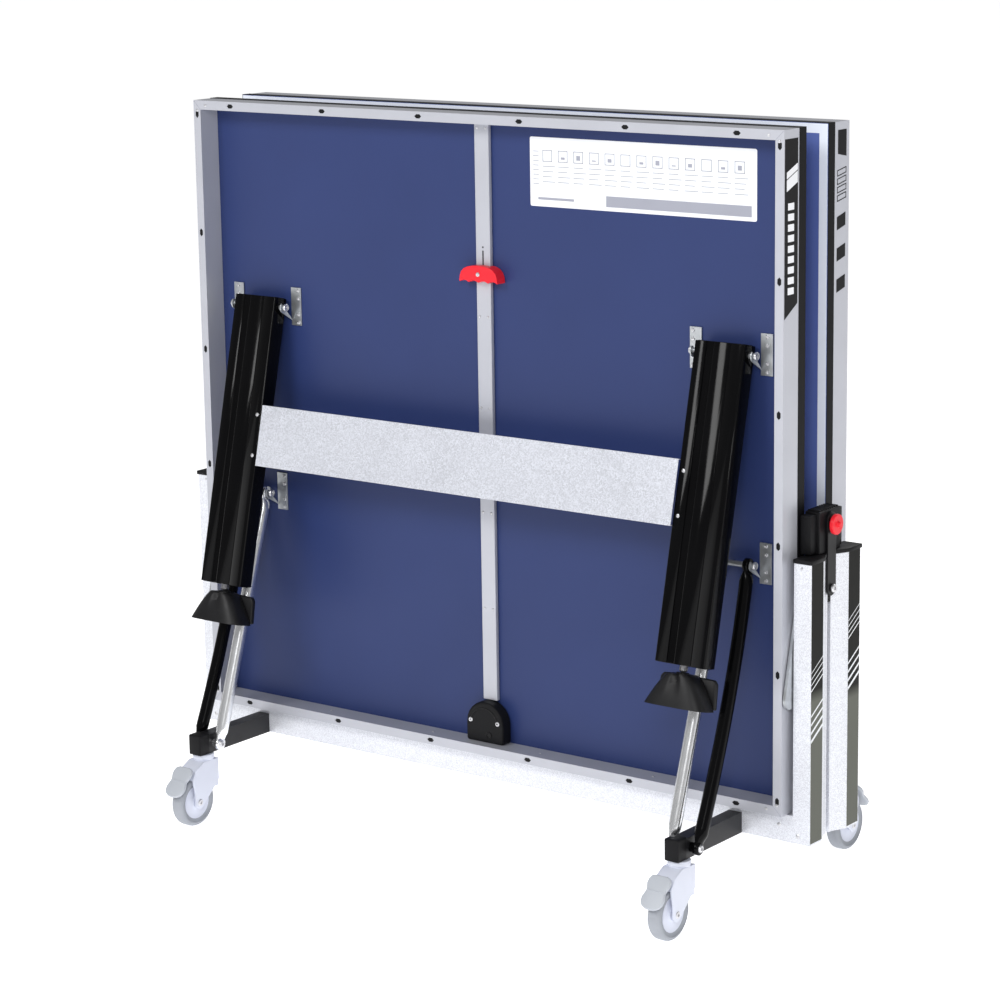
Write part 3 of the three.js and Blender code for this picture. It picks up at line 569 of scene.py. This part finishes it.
def make_sheet_sticker(half):
    """A white sheet with a row of empty boxes, ruled lines and a grey strip."""
    body = f"{half}_table"
    left, right, low, high = 0.118, 0.667, 1.4, 1.542
    back = board_low.y
    sheet = bmesh.new()
    place = facing(FRONT, ((left + right) / 2, back + SKIN, (low + high) / 2))
    add_prism(sheet, rounded_rectangle(right - left, high - low, 0.004), place, 2 * SKIN)
    finish_piece(f"{half}_sheet_sticker", sheet, vinyl_white, body, half)
    print_y = (back - SKIN - SKIN / 2, back - SKIN / 2)
    marks = bmesh.new()
    add_box(marks, (left + 0.19, print_y[0], low + 0.008), (right - 0.012, print_y[1], low + 0.03))
    box_count = 13
    pitch = (right - left - 0.045) / box_count
    size = pitch * 0.62
    stroke = 0.0016
    for k in range(box_count):
        x = left + 0.032 + k * pitch
        z = high - 0.05
        for x0, x1, z0, z1 in (
            (x, x + size, z, z + stroke),
            (x, x + size, z + size - stroke, z + size),
            (x, x + stroke, z, z + size),
            (x + size - stroke, x + size, z, z + size),
        ):
            add_box(marks, (x0, print_y[0], z0), (x1, print_y[1], z1))
        slope = size * (0.25 + 0.5 * ((k * 7) % 5) / 5)
        add_box(marks, (x + size * 0.3, print_y[0], z + size * 0.25), (x + size * 0.7, print_y[1], z + slope))
        for row in range(4):
            line = high - 0.06 - row * 0.0105
            shorter = pitch * (0.2 + 0.1 * ((k + row) % 3))
            add_box(marks, (x, print_y[0], line), (x + pitch - shorter, print_y[1], line + 0.0014))
    for row in range(8):
        line = high - 0.03 - row * 0.0095
        add_box(marks, (left + 0.008, print_y[0], line), (left + 0.022, print_y[1], line + 0.0014))
    add_box(marks, (left + 0.02, print_y[0], low + 0.014), (left + 0.11, print_y[1], low + 0.019))
    finish_piece(f"{half}_sticker_marks", marks, print_grey, body, half)


def side_outline(points):
    """Points given as depth behind the frame's front and height, on the frame's right side."""
    return [(frame_low.y + depth, z) for depth, z in points]


def slanted(start, end, thick):
    """A band between two points, each a depth and a height, with a thickness in height."""
    return [start, end, (end[0], end[1] + thick), (start[0], start[1] + thick)]


def add_side_shape(bm, points, x, thick, mirror=1):
    """A thin shape on a face that looks along x, or along -x when mirror is -1."""
    place = facing((mirror, 0, 0), (mirror * (x - thick / 2), 0, 0))
    flat = [(place.inverted() @ Vector((mirror * x, y, z))).xy for y, z in points]
    add_prism(bm, flat, place, thick)


def make_side_labels(half):
    """A black label with plain light blocks on one side, and plain slanted marks on the other."""
    body = f"{half}_table"
    label, bars = bmesh.new(), bmesh.new()
    side_x = frame_high.x

    def light(points):
        add_side_shape(bars, side_outline(points), side_x, 3 * SKIN)

    def mark(points):
        add_side_shape(label, side_outline(points), side_x, 2 * SKIN, -1)

    corners = [(0.0025, 1.221), (0.05, 1.249), (0.05, 1.569), (0.0025, 1.569)]
    add_side_shape(label, side_outline(corners), side_x, 2 * SKIN)
    for z, thick in ((1.492, 0.013), (1.468, 0.022)):
        light(slanted((0.009, z), (0.0485, z + 0.016), thick))
    block_count, block_pitch = 9, 0.0205
    for k in range(block_count):
        z = 1.268 + k * block_pitch
        light(slanted((0.014, z), (0.036, z), 0.0135))
    mark([(0.011, 1.518), (0.043, 1.524), (0.043, 1.571), (0.011, 1.571)])
    front, back, stroke, slope = 0.011, 0.045, 0.0016, 0.006
    for k in range(4):
        z = 1.43 + k * 0.0165
        for lift in (0, 0.0105):
            mark(slanted((front, z + lift + slope), (back, z + lift), 0.0018))
        for depth, lift in ((front, slope), (back - stroke, 0)):
            mark(slanted((depth, z + lift), (depth + stroke, z + lift), 0.012))
    for k in range(3):
        z = 1.25 + k * 0.062
        mark(slanted((0.013, z + 0.008), (back, z), 0.026))
    finish_piece(f"{half}_side_labels", label, decal_and_shade_black, body, half)
    finish_piece(f"{half}_label_bars", bars, vinyl_white, body, half)


# ---- Legs and feet ----

LEG_LEAN = radians(13.3)
LEG_WIDTH = 0.121
LEG_THICK = 0.04
LEG_HEAD = 0.02  # of the leg, above its pivot
PANEL_RIVETS = (0.24, 0.33)  # down the leg from its pivot
FOOT_HEIGHT = 0.066
SOLE = -0.705  # of the foot, down the leg from its pivot
NECK_HEIGHT = 0.003
THREAD_PITCH = 0.0025


def leg_place(half_side):
    """Local coordinates of a leg: z up along it from the pivot, y through it."""
    pivot = joint_place["near_legs_fold"]
    low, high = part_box(f"near_leg_{half_side}")
    x = (low.x + high.x) / 2
    return Matrix.Translation((x, pivot.y, pivot.z)) @ Matrix.Rotation(-LEG_LEAN, 4, "X")


def leg_outline():
    """The leg's section: a flat band, a groove, a rounded ridge and a flat with a fine line."""
    half, front, back = LEG_WIDTH / 2, -LEG_THICK / 2, LEG_THICK / 2
    points = arc((half - 0.004, back - 0.004), 0.004, 0, 90, 3)
    points += arc((-half + 0.004, back - 0.004), 0.004, 90, 180, 3)
    points += arc((-half + 0.002, front + 0.007), 0.002, 180, 270, 2)
    points += [(-0.0335, front + 0.005), (-0.0325, front + 0.0085), (-0.0165, front + 0.0085)]
    points += arc((-0.0085, front + 0.008), 0.008, 180, 270, 6)
    points += [(0.0262, front), (0.0266, front + 0.0012), (0.0278, front + 0.0012), (0.0282, front)]
    points += arc((half - 0.003, front + 0.003), 0.003, 270, 360, 3)
    return points


def make_legs(half):
    body = f"{half}_legs"
    for side_name in SIDES:
        low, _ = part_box(f"near_leg_{side_name}")
        place = leg_place(side_name)
        pivot_z = place.translation.z
        length = (pivot_z - low.z) / cos(LEG_LEAN) - LEG_THICK / 2 * sin(LEG_LEAN) / cos(LEG_LEAN)
        tube = bmesh.new()
        add_prism(tube, leg_outline(), Matrix.Translation((0, 0, -length)), length + LEG_HEAD, 0.0007, 1)
        tube.transform(place)
        leg_name = f"{half}_leg_{side_name}"
        finish_piece(f"{leg_name}_tube", tube, leg_black, body, half, replaces=[leg_name], sharp=40)
        cap = bmesh.new()
        plug = rounded_rectangle(LEG_WIDTH - 0.006, LEG_THICK - 0.014, 0.003)
        for z in (LEG_HEAD, -length - 0.001):
            add_prism(cap, plug, Matrix.Translation((0, 0.003, z)), 0.001, 0.0008, 1)
        cap.transform(place)
        finish_piece(f"{leg_name}_caps", cap, moulded_black, body, half)

    soften(f"{half}_cross_panel", 0.0016, galvanised)
    rivets = bmesh.new()
    for side_name, side in SIDES.items():
        place = leg_place(side_name)
        for drop in PANEL_RIVETS:
            local = Vector((-side * 0.049, -LEG_THICK / 2 + (0.005 if side > 0 else 0), -drop))
            direction = place.to_3x3() @ Vector(FRONT)
            add_rivet(rivets, place @ local, direction, 0.0042)
    finish_piece(f"{half}_leg_rivets", rivets, steel, body, half)


def foot_ring(rise, steps=56):
    """One level of the foot: a rounded rectangle that narrows towards its neck, with a notch in front."""
    share = 0.36 + 0.64 * (1 - rise) ** 0.75
    half_x, half_y = 0.073 * share, 0.037 * (0.5 + 0.5 * share)
    points = []
    for k in range(steps):
        angle = 2 * pi * k / steps
        c, s = cos(angle), sin(angle)
        power = 0.62
        x = half_x * abs(c) ** power * (1 if c >= 0 else -1)
        y = half_y * abs(s) ** power * (1 if s >= 0 else -1)
        off_centre = abs(x) / 0.007
        if y < 0 and rise > 0.3 and off_centre < 1.6:
            y += 0.012 * max(0, 1 - off_centre) * (rise - 0.3) / 0.7
        points.append((x, y))
    return points


def make_feet(half):
    """Feet with a bell and a flat back, a short neck, and a threaded stem into the leg."""
    levels = [0.0, 0.05, 0.12, 0.25, 0.4, 0.55, 0.7, 0.82, 0.9, 0.96, 1.0]
    top = SOLE + FOOT_HEIGHT
    for side_name in SIDES:
        node = f"{half}_foot_{side_name}"
        place = leg_place(side_name)
        bell, neck, rod = bmesh.new(), bmesh.new(), bmesh.new()
        rings = []
        for rise in levels:
            z = SOLE + FOOT_HEIGHT * rise
            rings.append([bell.verts.new((x, y, z)) for x, y in foot_ring(rise)])
        add_skin(bell, rings)
        edge = [(0.069, 0.003), (0.066, FOOT_HEIGHT - 0.012), (0.06, FOOT_HEIGHT - 0.004)]
        edge += [(0.04, FOOT_HEIGHT - 0.003)]
        back = [(-x, z) for x, z in edge] + edge[::-1]
        stand = Matrix.Translation((0, 0.033, SOLE)) @ Matrix.Rotation(pi / 2, 4, "X")
        add_prism(bell, back, stand, 0.012, 0.003, 3)
        collar = [(0, top - 0.01), (0.0135, top - 0.01), (0.0135, top + 0.0018)]
        collar += [(0.0122, top + NECK_HEIGHT), (0, top + NECK_HEIGHT)]
        add_lathe(neck, collar, Matrix.Identity(4), 24)
        thread = [(0, top)]
        for k in range(20):
            height = top + 0.006 + k * THREAD_PITCH
            thread += [(0.0079, height), (0.0088, height + THREAD_PITCH / 2)]
        end = height + THREAD_PITCH
        add_lathe(rod, [*thread, (0.0079, end), (0, end)], Matrix.Identity(4), 20)
        for part in (bell, neck, rod):
            part.transform(place)
        finish_piece(f"{node}_bell", bell, rubber, node, half, replaces=[node], sharp=50)
        finish_piece(f"{node}_neck", neck, rubber, node, half)
        finish_piece(f"{node}_stem", rod, steel, node, half)


# ---- Brackets and links ----


def make_brackets(half):
    body = f"{half}_table"
    screws = bmesh.new()
    bolts = bmesh.new()
    for kind, pivot_joint in (("leg", "near_legs_fold"), ("link", "near_links_swing")):
        pivot = joint_place[pivot_joint]
        for side_name, side in SIDES.items():
            soften(f"{half}_{kind}_bracket_{side_name}", 0.0007, zinc, 2)
            low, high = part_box(f"near_{kind}_bracket_{side_name}")
            flange = 0.014
            sheet_y = board_low.y - 0.0033
            inner = low.x if side > 0 else high.x
            outer = high.x if side > 0 else low.x
            for x in (inner + side * flange * 0.55, outer - side * flange * 0.9):
                for k in (-1.5, -0.75, 0.75, 1.5):
                    add_screw(screws, (x, sheet_y, pivot.z + k * 0.0235), radius=0.0042)
            for x, away in ((inner + side * 0.0215, -side), (outer - side * 0.0215, side)):
                add_screw(bolts, (x, pivot.y, pivot.z), (away, 0, 0), 0.0085, 0.004)
    finish_piece(f"{half}_bracket_screws", screws, steel, body, half)
    finish_piece(f"{half}_pivot_bolts", bolts, steel, body, half)


EYE_RADIUS = 0.014
EYE_HALF = 0.006  # half the thickness of a link's flattened end
BEND_SHARE, BEND_OFFSET = 0.56, 0.034
BOSS_REACH = 0.015


def add_sweep(bm, path, x, steps=28):
    """A bar along (y, z) points in the plane x, with its half thickness across and within that plane."""
    part = bmesh.new()
    rings = []
    for k, (y, z, across, within) in enumerate(path):
        before, after = path[max(k - 1, 0)], path[min(k + 1, len(path) - 1)]
        along = Vector((after[0] - before[0], after[1] - before[1])).normalized()
        ring = []
        for step in range(steps):
            c, d = cos(2 * pi * step / steps), sin(2 * pi * step / steps)
            ring.append(part.verts.new((x + across * c, y - along.y * within * d, z + along.x * within * d)))
        rings.append(ring)
    add_skin(part, rings)
    merge(bm, part)


def link_path(low, high, bend):
    """Points along a link, flat near its two eyes and round between them."""
    count = 40
    path = []
    for k in range(count + 1):
        t = k / count
        t = t * t * (3 - 2 * t)
        a, b, c = (1 - t) ** 2, 2 * t * (1 - t), t * t
        y = a * low[0] + b * bend[0] + c * high[0]
        z = a * low[1] + b * bend[1] + c * high[1]
        near_eye = min(Vector((y, z)) - Vector(low), Vector((y, z)) - Vector(high), key=lambda v: v.length)
        share = min(1, max(0, (near_eye.length - 0.009) / 0.02))
        share = share * share * (3 - 2 * share)
        across = EYE_HALF * 0.95 + (EYE_RADIUS - EYE_HALF * 0.95) * share
        path.append((y, z, across, EYE_RADIUS * (0.93 + 0.07 * share)))
    return path


def make_link(half, side_name, kind, look, x, bend_offset):
    """One link with its two eyes, and the boss on its low eye towards the outrigger."""
    node = f"{half}_{kind}_{side_name}"
    low_corner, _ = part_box(f"near_{kind}_right")
    low = (low_corner.y + EYE_RADIUS, low_corner.z + EYE_RADIUS)
    high = (joint_place["near_links_swing"].y, joint_place["near_links_swing"].z)
    run = Vector((high[0] - low[0], high[1] - low[1]))
    away = Vector((run.y, -run.x)).normalized() * bend_offset
    if bend_offset:
        bend = (low[0] + run.x * BEND_SHARE + away.x, low[1] + run.y * BEND_SHARE + away.y)
    else:
        bend = ((low[0] + high[0]) / 2, (low[1] + high[1]) / 2)
    bm = bmesh.new()
    add_sweep(bm, link_path(low, high, bend), x)
    for y, z in (low, high):
        eye = [(0, -EYE_HALF), (EYE_RADIUS - 0.0012, -EYE_HALF), (EYE_RADIUS, -EYE_HALF + 0.0012)]
        eye += [(EYE_RADIUS, EYE_HALF - 0.0012), (EYE_RADIUS - 0.0012, EYE_HALF), (0, EYE_HALF)]
        add_lathe(bm, eye, facing(OUTER, (x, y, z)), 32)
    boss_end = BOSS_REACH if kind == "link_tube" else -BOSS_REACH
    ends = sorted((0, boss_end))
    boss = [(0, ends[0]), (0.01, ends[0]), (0.01, ends[1]), (0, ends[1])]
    add_lathe(bm, boss, facing(OUTER, (x, *low)), 28)
    side = SIDES[side_name]
    finish_piece(f"{node}_bar", bm, look, f"{half}_links", half, side, replaces=[node], sharp=50)
    return low


def make_links(half):
    bolts = bmesh.new()
    for side_name, side in SIDES.items():
        tube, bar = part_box("near_link_tube_right"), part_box("near_support_bar_right")
        tube_x, bar_x = tube[0].x + EYE_RADIUS, bar[1].x - EYE_RADIUS
        low = make_link(half, side_name, "link_tube", bright_tube, tube_x, 0)
        make_link(half, side_name, "support_bar", leg_black, bar_x, BEND_OFFSET)
        soften(f"{half}_swing_arm_{side_name}", 0.001, zinc)
        add_screw(bolts, (side * (tube_x - EYE_HALF + 0.0005), *low), (-side, 0, 0), 0.008, 0.0045)
        add_screw(bolts, (side * (bar_x + EYE_HALF - 0.0005), *low), (side, 0, 0), 0.008, 0.0045)
    finish_piece(f"{half}_link_bolts", bolts, steel, f"{half}_links", half)


# ---- Chassis ----

UPRIGHT_IN = 0.773
CHAMFER = (0.016, 0.046, 0.015)  # inwards, its start behind the front face, its end from the middle
CAP_PROUD = 0.003
BEAM_FRONT_Y = -0.094
STRIPE_BASE = {"right": 0.371, "left": 0.449}
STRIPE_RISE = 0.027


def upright_outline(grow=0.0):
    """The upright's section on the right: square in front, chamfered towards the middle plane."""
    front, outer = BEAM_FRONT_Y, chassis_high.x
    return [
        (UPRIGHT_IN - grow * 0.4, front - grow),
        (outer + grow, front - grow),
        (outer + grow, front + CHAMFER[1]),
        (outer - CHAMFER[0] + grow, -CHAMFER[2]),
        (outer - CHAMFER[0] + grow, -0.006),
        (UPRIGHT_IN - grow * 0.4, -0.006),
    ]


def make_chassis(half):
    soften(f"{half}_chassis", 0.0018, chassis_look, flatten=False)
    top = chassis_high.z
    for side_name, side in SIDES.items():
        name = f"{half}_upright_{side_name}"
        cap = bmesh.new()
        sleeve = Matrix.Translation((0, 0, top - 0.0065))
        add_prism(cap, upright_outline(CAP_PROUD), sleeve, 0.0085, 0.0014, 2)
        finish_piece(f"{name}_cap", cap, moulded_black, "root", half, side)

        outer = chassis_high.x
        decal, stripes = bmesh.new(), bmesh.new()
        front, back = BEAM_FRONT_Y + 0.0015, BEAM_FRONT_Y + CHAMFER[1] - 0.001
        low = chassis_low.z + 0.004
        film = slanted((front, low), (back, low), top - 0.007 - low)
        add_side_shape(decal, film, outer, 2 * SKIN)
        finish_piece(f"{name}_decal", decal, upright_black[side_name], "root", half, side)
        low_end, high_end = (front, back) if side > 0 else (back, front)
        base = STRIPE_BASE[side_name]
        for start, pitch, thick in ((base, 0.0178, 0.0062), (base + 0.106, 0.0125, 0.0026)):
            for k in range(4):
                z = start + k * pitch
                thin = thick * (1 - 0.12 * k)
                band = slanted((low_end, z), (high_end, z + STRIPE_RISE), thin)
                add_side_shape(stripes, band, outer, 3 * SKIN)
        finish_piece(f"{name}_stripes", stripes, vinyl_white, "root", half, side)

        marks = bmesh.new()
        for dx, z in ((0.012, low + 0.012), (-0.032, low + 0.03)):
            add_rivet(marks, (UPRIGHT_IN + dx, BEAM_FRONT_Y, z), radius=0.0045)
        add_rivet(marks, (UPRIGHT_IN + 0.018, BEAM_FRONT_Y, top - 0.016), radius=0.003)
        finish_piece(f"{name}_rivets", marks, steel, "root", half, side)

        end = bmesh.new()
        x, half_wide, tall = joint_place["near_swivel_right"].x, 0.0167, 0.0465
        low = (x - half_wide, chassis_low.y - 0.0035, chassis_low.z + 0.0003)
        high = (x + half_wide, chassis_low.y + 0.03, chassis_low.z + tall)
        add_box(end, low, high, 0.0035, 4)
        name = f"{half}_outrigger_plug_{side_name}"
        finish_piece(name, end, moulded_black, "root", half, side)


# ---- Casters ----

WHEEL_HALF = 0.016


def side_place(x):
    """Local x is y, local y is z, and local z is x."""
    return Matrix(((0, 0, 1, x), (1, 0, 0, 0), (0, 1, 0, 0), (0, 0, 0, 1)))


def make_fork(half, side_name, side, node):
    """A moulded fork: a hood over the wheel, two cheeks down to the axle and a collar on top."""
    swivel = joint_place["near_swivel_right"]
    axle = joint_place["near_roll_right"]
    _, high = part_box("near_caster_fork_right")
    back, top = swivel.y + 0.0235, high.z - 0.0125
    shoulder = [(swivel.y - 0.0235, top), (swivel.y - 0.05, top - 0.014), (swivel.y - 0.0605, top - 0.032)]
    arch = arc((axle.y, axle.z), 0.058, 112.3, 25.2, 14)
    body = bmesh.new()
    inside = 0.0008
    hood = [(back - inside, top - inside), (shoulder[0][0], top - inside)]
    hood += [(y + inside, z - inside) for y, z in shoulder[1:]]
    hood += [*arch, (back - inside, arch[-1][1])]
    add_prism(body, hood, side_place(swivel.x - 0.0205), 0.041)
    cut_steps = ((0.0595, 0.046), (0.0565, 0.056), (0.0545, 0.068))
    cut = [(swivel.y - away, top - drop) for away, drop in cut_steps]
    tip = arc((axle.y, axle.z), 0.0145, 165, 325, 12)
    cheek = [(back, top), *shoulder, *cut, *tip, (back, top - 0.05)]
    for x in (swivel.x - 0.0232, swivel.x + 0.0182):
        add_prism(body, cheek, side_place(x), 0.005, 0.0014, 3)
    ring = [(0, top - 0.002), (0.0228, top - 0.002), (0.0228, top + 0.0015), (0.0238, top + 0.0025)]
    ring += [(0.0238, high.z - 0.0018), (0.0228, high.z - 0.0006), (0, high.z - 0.0006)]
    add_lathe(body, ring, Matrix.Translation((swivel.x, swivel.y, 0)), 40)
    rider = f"{half}_caster_{side_name}"
    finish_piece(f"{node}_body", body, grey_plastic, rider, half, side, replaces=[node], sharp=42)


def make_pedal(half, side_name, side, node):
    """A brake pedal with two lobes and a ridge across its waist."""
    hinge = joint_place["near_brake_right_press"]
    edge = [(0.014, 0), (0.022, 0.003), (0.0262, 0.011), (0.0265, 0.02), (0.0235, 0.029), (0.0218, 0.0345)]
    edge += [(0.0238, 0.041), (0.0265, 0.05), (0.0252, 0.06), (0.0205, 0.0675), (0.011, 0.0725), (0, 0.0738)]
    outline = edge + [(-x, v) for x, v in reversed(edge[:-1])]
    slope = radians(50)
    start = Vector((hinge.x, hinge.y - 0.0125, hinge.z + 0.005))
    down = Vector((0, -cos(slope), -sin(slope)))
    out = Vector((0, -sin(slope), cos(slope)))
    turn = Matrix((Vector((1, 0, 0)), down, out)).transposed().to_4x4()
    plate = bmesh.new()
    place = Matrix.Translation(start) @ turn
    add_prism(plate, outline, place @ Matrix.Translation((0, 0, -0.002)), 0.0075, 0.0026, 4)
    groove = [(-0.019, 0.0335), (0.019, 0.0335), (0.019, 0.0352), (-0.019, 0.0352)]
    add_prism(plate, groove, place @ Matrix.Translation((0, 0, 0.005)), 0.0013, 0.0005, 2)
    rider = f"{half}_brake_{side_name}"
    finish_piece(f"{node}_plate", plate, pedal_grey, rider, half, side, replaces=[node], sharp=42)


def make_casters(half):
    for side_name, side in SIDES.items():
        wheel = f"{half}_caster_wheel_{side_name}"
        make_fork(half, side_name, side, f"{half}_caster_fork_{side_name}")
        make_pedal(half, side_name, side, f"{half}_brake_pedal_{side_name}")
        low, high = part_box("near_caster_wheel_right")
        centre = (low + high) / 2
        radius = (high.z - low.z) / 2
        axle = facing(OUTER, centre)
        tyre = bmesh.new()
        half_w, shoulder = WHEEL_HALF, 0.009
        inner = radius * 0.68
        profile = [(inner, -half_w * 0.72), (radius * 0.8, -half_w * 0.86), (radius * 0.86, -half_w)]
        profile += arc((radius - shoulder, -half_w + shoulder), shoulder, -90, 0, 5)
        profile += arc((radius - shoulder, half_w - shoulder), shoulder, 0, 90, 5)
        profile += [(radius * 0.86, half_w), (radius * 0.8, half_w * 0.86), (inner, half_w * 0.72)]
        profile += [(inner, -half_w * 0.72)]
        add_lathe(tyre, profile, axle, 48)
        body = f"{half}_wheel_{side_name}"
        finish_piece(f"{wheel}_tyre", tyre, tyre_grey, body, half, side, replaces=[wheel])
        hub = bmesh.new()
        bore = 0.0066
        disc = [(bore, -0.0135), (0.013, -0.0135), (0.0145, -0.012), (0.02, -0.0105)]
        disc += [(inner - 0.004, -0.0105), (inner + 0.0005, -0.0125)]
        disc += [(r, -z) for r, z in reversed(disc)] + disc[:1]
        add_lathe(hub, disc, axle, 48)
        finish_piece(f"{wheel}_hub", hub, grey_plastic, body, half, side)
        pins = bmesh.new()
        for away in (-1, 1):
            reach = centre.x + away * (WHEEL_HALF + 0.0068)
            add_screw(pins, (reach, centre.y, centre.z), (away, 0, 0), 0.0075, 0.0025)
        rider = f"{half}_caster_{side_name}"
        finish_piece(f"{half}_axle_ends_{side_name}", pins, steel, rider, half, side)


# ---- Side locks ----

BOLT_HEIGHT = 0.670


def make_locks():
    """The end locks on the middle plane, which belong to no half."""
    low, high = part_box("lock_housing_right")
    _, plate_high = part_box("lock_plate_right")
    tooth_count, tooth_half = 9, 0.0022
    for side_name, side in SIDES.items():
        soften(f"lock_housing_{side_name}", 0.002, moulded_black)
        soften(f"lock_plate_{side_name}", 0.001, satin_black)
        soften(f"lock_knob_{side_name}", 0.0022, red_plastic, 3)
        teeth, block, bolt = bmesh.new(), bmesh.new(), bmesh.new()
        for k in range(tooth_count):
            y = low.y + 0.008 + (high.y - low.y - 0.016) * k / (tooth_count - 1)
            corner = (low.x + 0.003, y - tooth_half, high.z - 0.001)
            add_box(teeth, corner, (high.x - 0.002, y + tooth_half, high.z + 0.003), 0.0008)
        corner = (low.x + 0.0005, -0.06, chassis_high.z + 0.004)
        add_box(block, corner, (low.x + 0.0255, 0.06, high.z - 0.005), 0.0022)
        add_screw(bolt, (plate_high.x - 0.0002, 0, BOLT_HEIGHT), OUTER, 0.0085, 0.004)
        name = f"lock_{side_name}"
        finish_piece(f"{name}_block", block, moulded_black, "root", "near", side)
        finish_piece(f"{name}_grip", teeth, moulded_black, "root", "near", side)
        finish_piece(f"{name}_bolt", bolt, steel, "root", "near", side)


# ---- Assembly ----

for half_name in HALVES:
    make_board(half_name)
    make_frame(half_name)
    make_latch(half_name)
    make_side_labels(half_name)
    make_legs(half_name)
    make_feet(half_name)
    make_brackets(half_name)
    make_links(half_name)
    make_chassis(half_name)
    make_casters(half_name)
make_sheet_sticker("near")
make_locks()


# ---- Floor, light and camera ----

FLOOR_REACH = 60
FLOOR_GLOW = 0.74
WORLD_LIGHT, WORLD_SEEN = 0.3, 1.1

floor_mesh = bmesh.new()
bmesh.ops.create_grid(floor_mesh, x_segments=2, y_segments=2, size=FLOOR_REACH)
floor_data = bpy.data.meshes.new("floor")
floor_mesh.to_mesh(floor_data)
floor_mesh.free()
floor_look = Look("floor_white", 0.8, gloss=0.1)
floor_look.colour(floor_look.mottle((0.9, 0.9, 0.905), 0.004, 1)).bump(0.00001, 300)
floor_look.shader.inputs["Emission Color"].default_value = (1, 1, 1, 1)
floor_look.shader.inputs["Emission Strength"].default_value = FLOOR_GLOW
floor_data.materials.append(floor_look.material)
floor = bpy.data.objects.new("floor", floor_data)
bpy.context.collection.objects.link(floor)

# The backdrop is white, and lights the table less than it shows.
world = bpy.data.worlds.new("studio")
bpy.context.scene.world = world
world.use_nodes = True
background = world.node_tree.nodes["Background"]
background.inputs["Color"].default_value = (1, 1, 1, 1)
seen = world.node_tree.nodes.new("ShaderNodeLightPath").outputs["Is Camera Ray"]
strength = world.node_tree.nodes.new("ShaderNodeMapRange")
strength.inputs["To Min"].default_value = WORLD_LIGHT
strength.inputs["To Max"].default_value = WORLD_SEEN
world.node_tree.links.new(seen, strength.inputs["Value"])
world.node_tree.links.new(strength.outputs["Result"], background.inputs["Strength"])


def add_light(name, place, target, size, power):
    data = bpy.data.lights.new(name, "AREA")
    data.shape = "RECTANGLE"
    data.size, data.size_y = size
    data.energy = power
    lamp = bpy.data.objects.new(name, data)
    lamp.location = place
    lamp.rotation_euler = (Vector(target) - Vector(place)).to_track_quat("-Z", "Y").to_euler()
    bpy.context.collection.objects.link(lamp)


MIDDLE = (0, 0, 0.8)
add_light("key", (-1.2, -4.5, 4.2), MIDDLE, (2.0, 1.6), 120)
add_light("front", (3.4, -5.0, 3.6), MIDDLE, (1.6, 1.6), 120)
add_light("fill", (5.2, 0.6, 2.2), MIDDLE, (1.6, 2.6), 22)
add_light("back", (0.5, 4.5, 4.0), MIDDLE, (3.0, 2.0), 90)

YAW, PITCH, ROLL = radians(37.224), radians(12.208), radians(-0.884)
FOCAL_IN_FRAMES = 3.032  # focal length over the picture's width
SENSOR_WIDTH = 36
camera_data = bpy.data.cameras.new("camera")
camera_data.sensor_width = SENSOR_WIDTH
camera_data.lens = SENSOR_WIDTH * FOCAL_IN_FRAMES
camera_data.clip_end = 200
camera = bpy.data.objects.new("camera", camera_data)
camera.location = (3.8261, -5.067, 2.128)
look_along = Vector((-sin(YAW) * cos(PITCH), cos(YAW) * cos(PITCH), -sin(PITCH)))
camera.rotation_mode = "QUATERNION"
tilt = Matrix.Rotation(ROLL, 4, "Z").to_quaternion()
camera.rotation_quaternion = look_along.to_track_quat("-Z", "Y") @ tilt
bpy.context.collection.objects.link(camera)
bpy.context.scene.camera = camera
bpy.context.scene.view_settings.view_transform = "Standard"
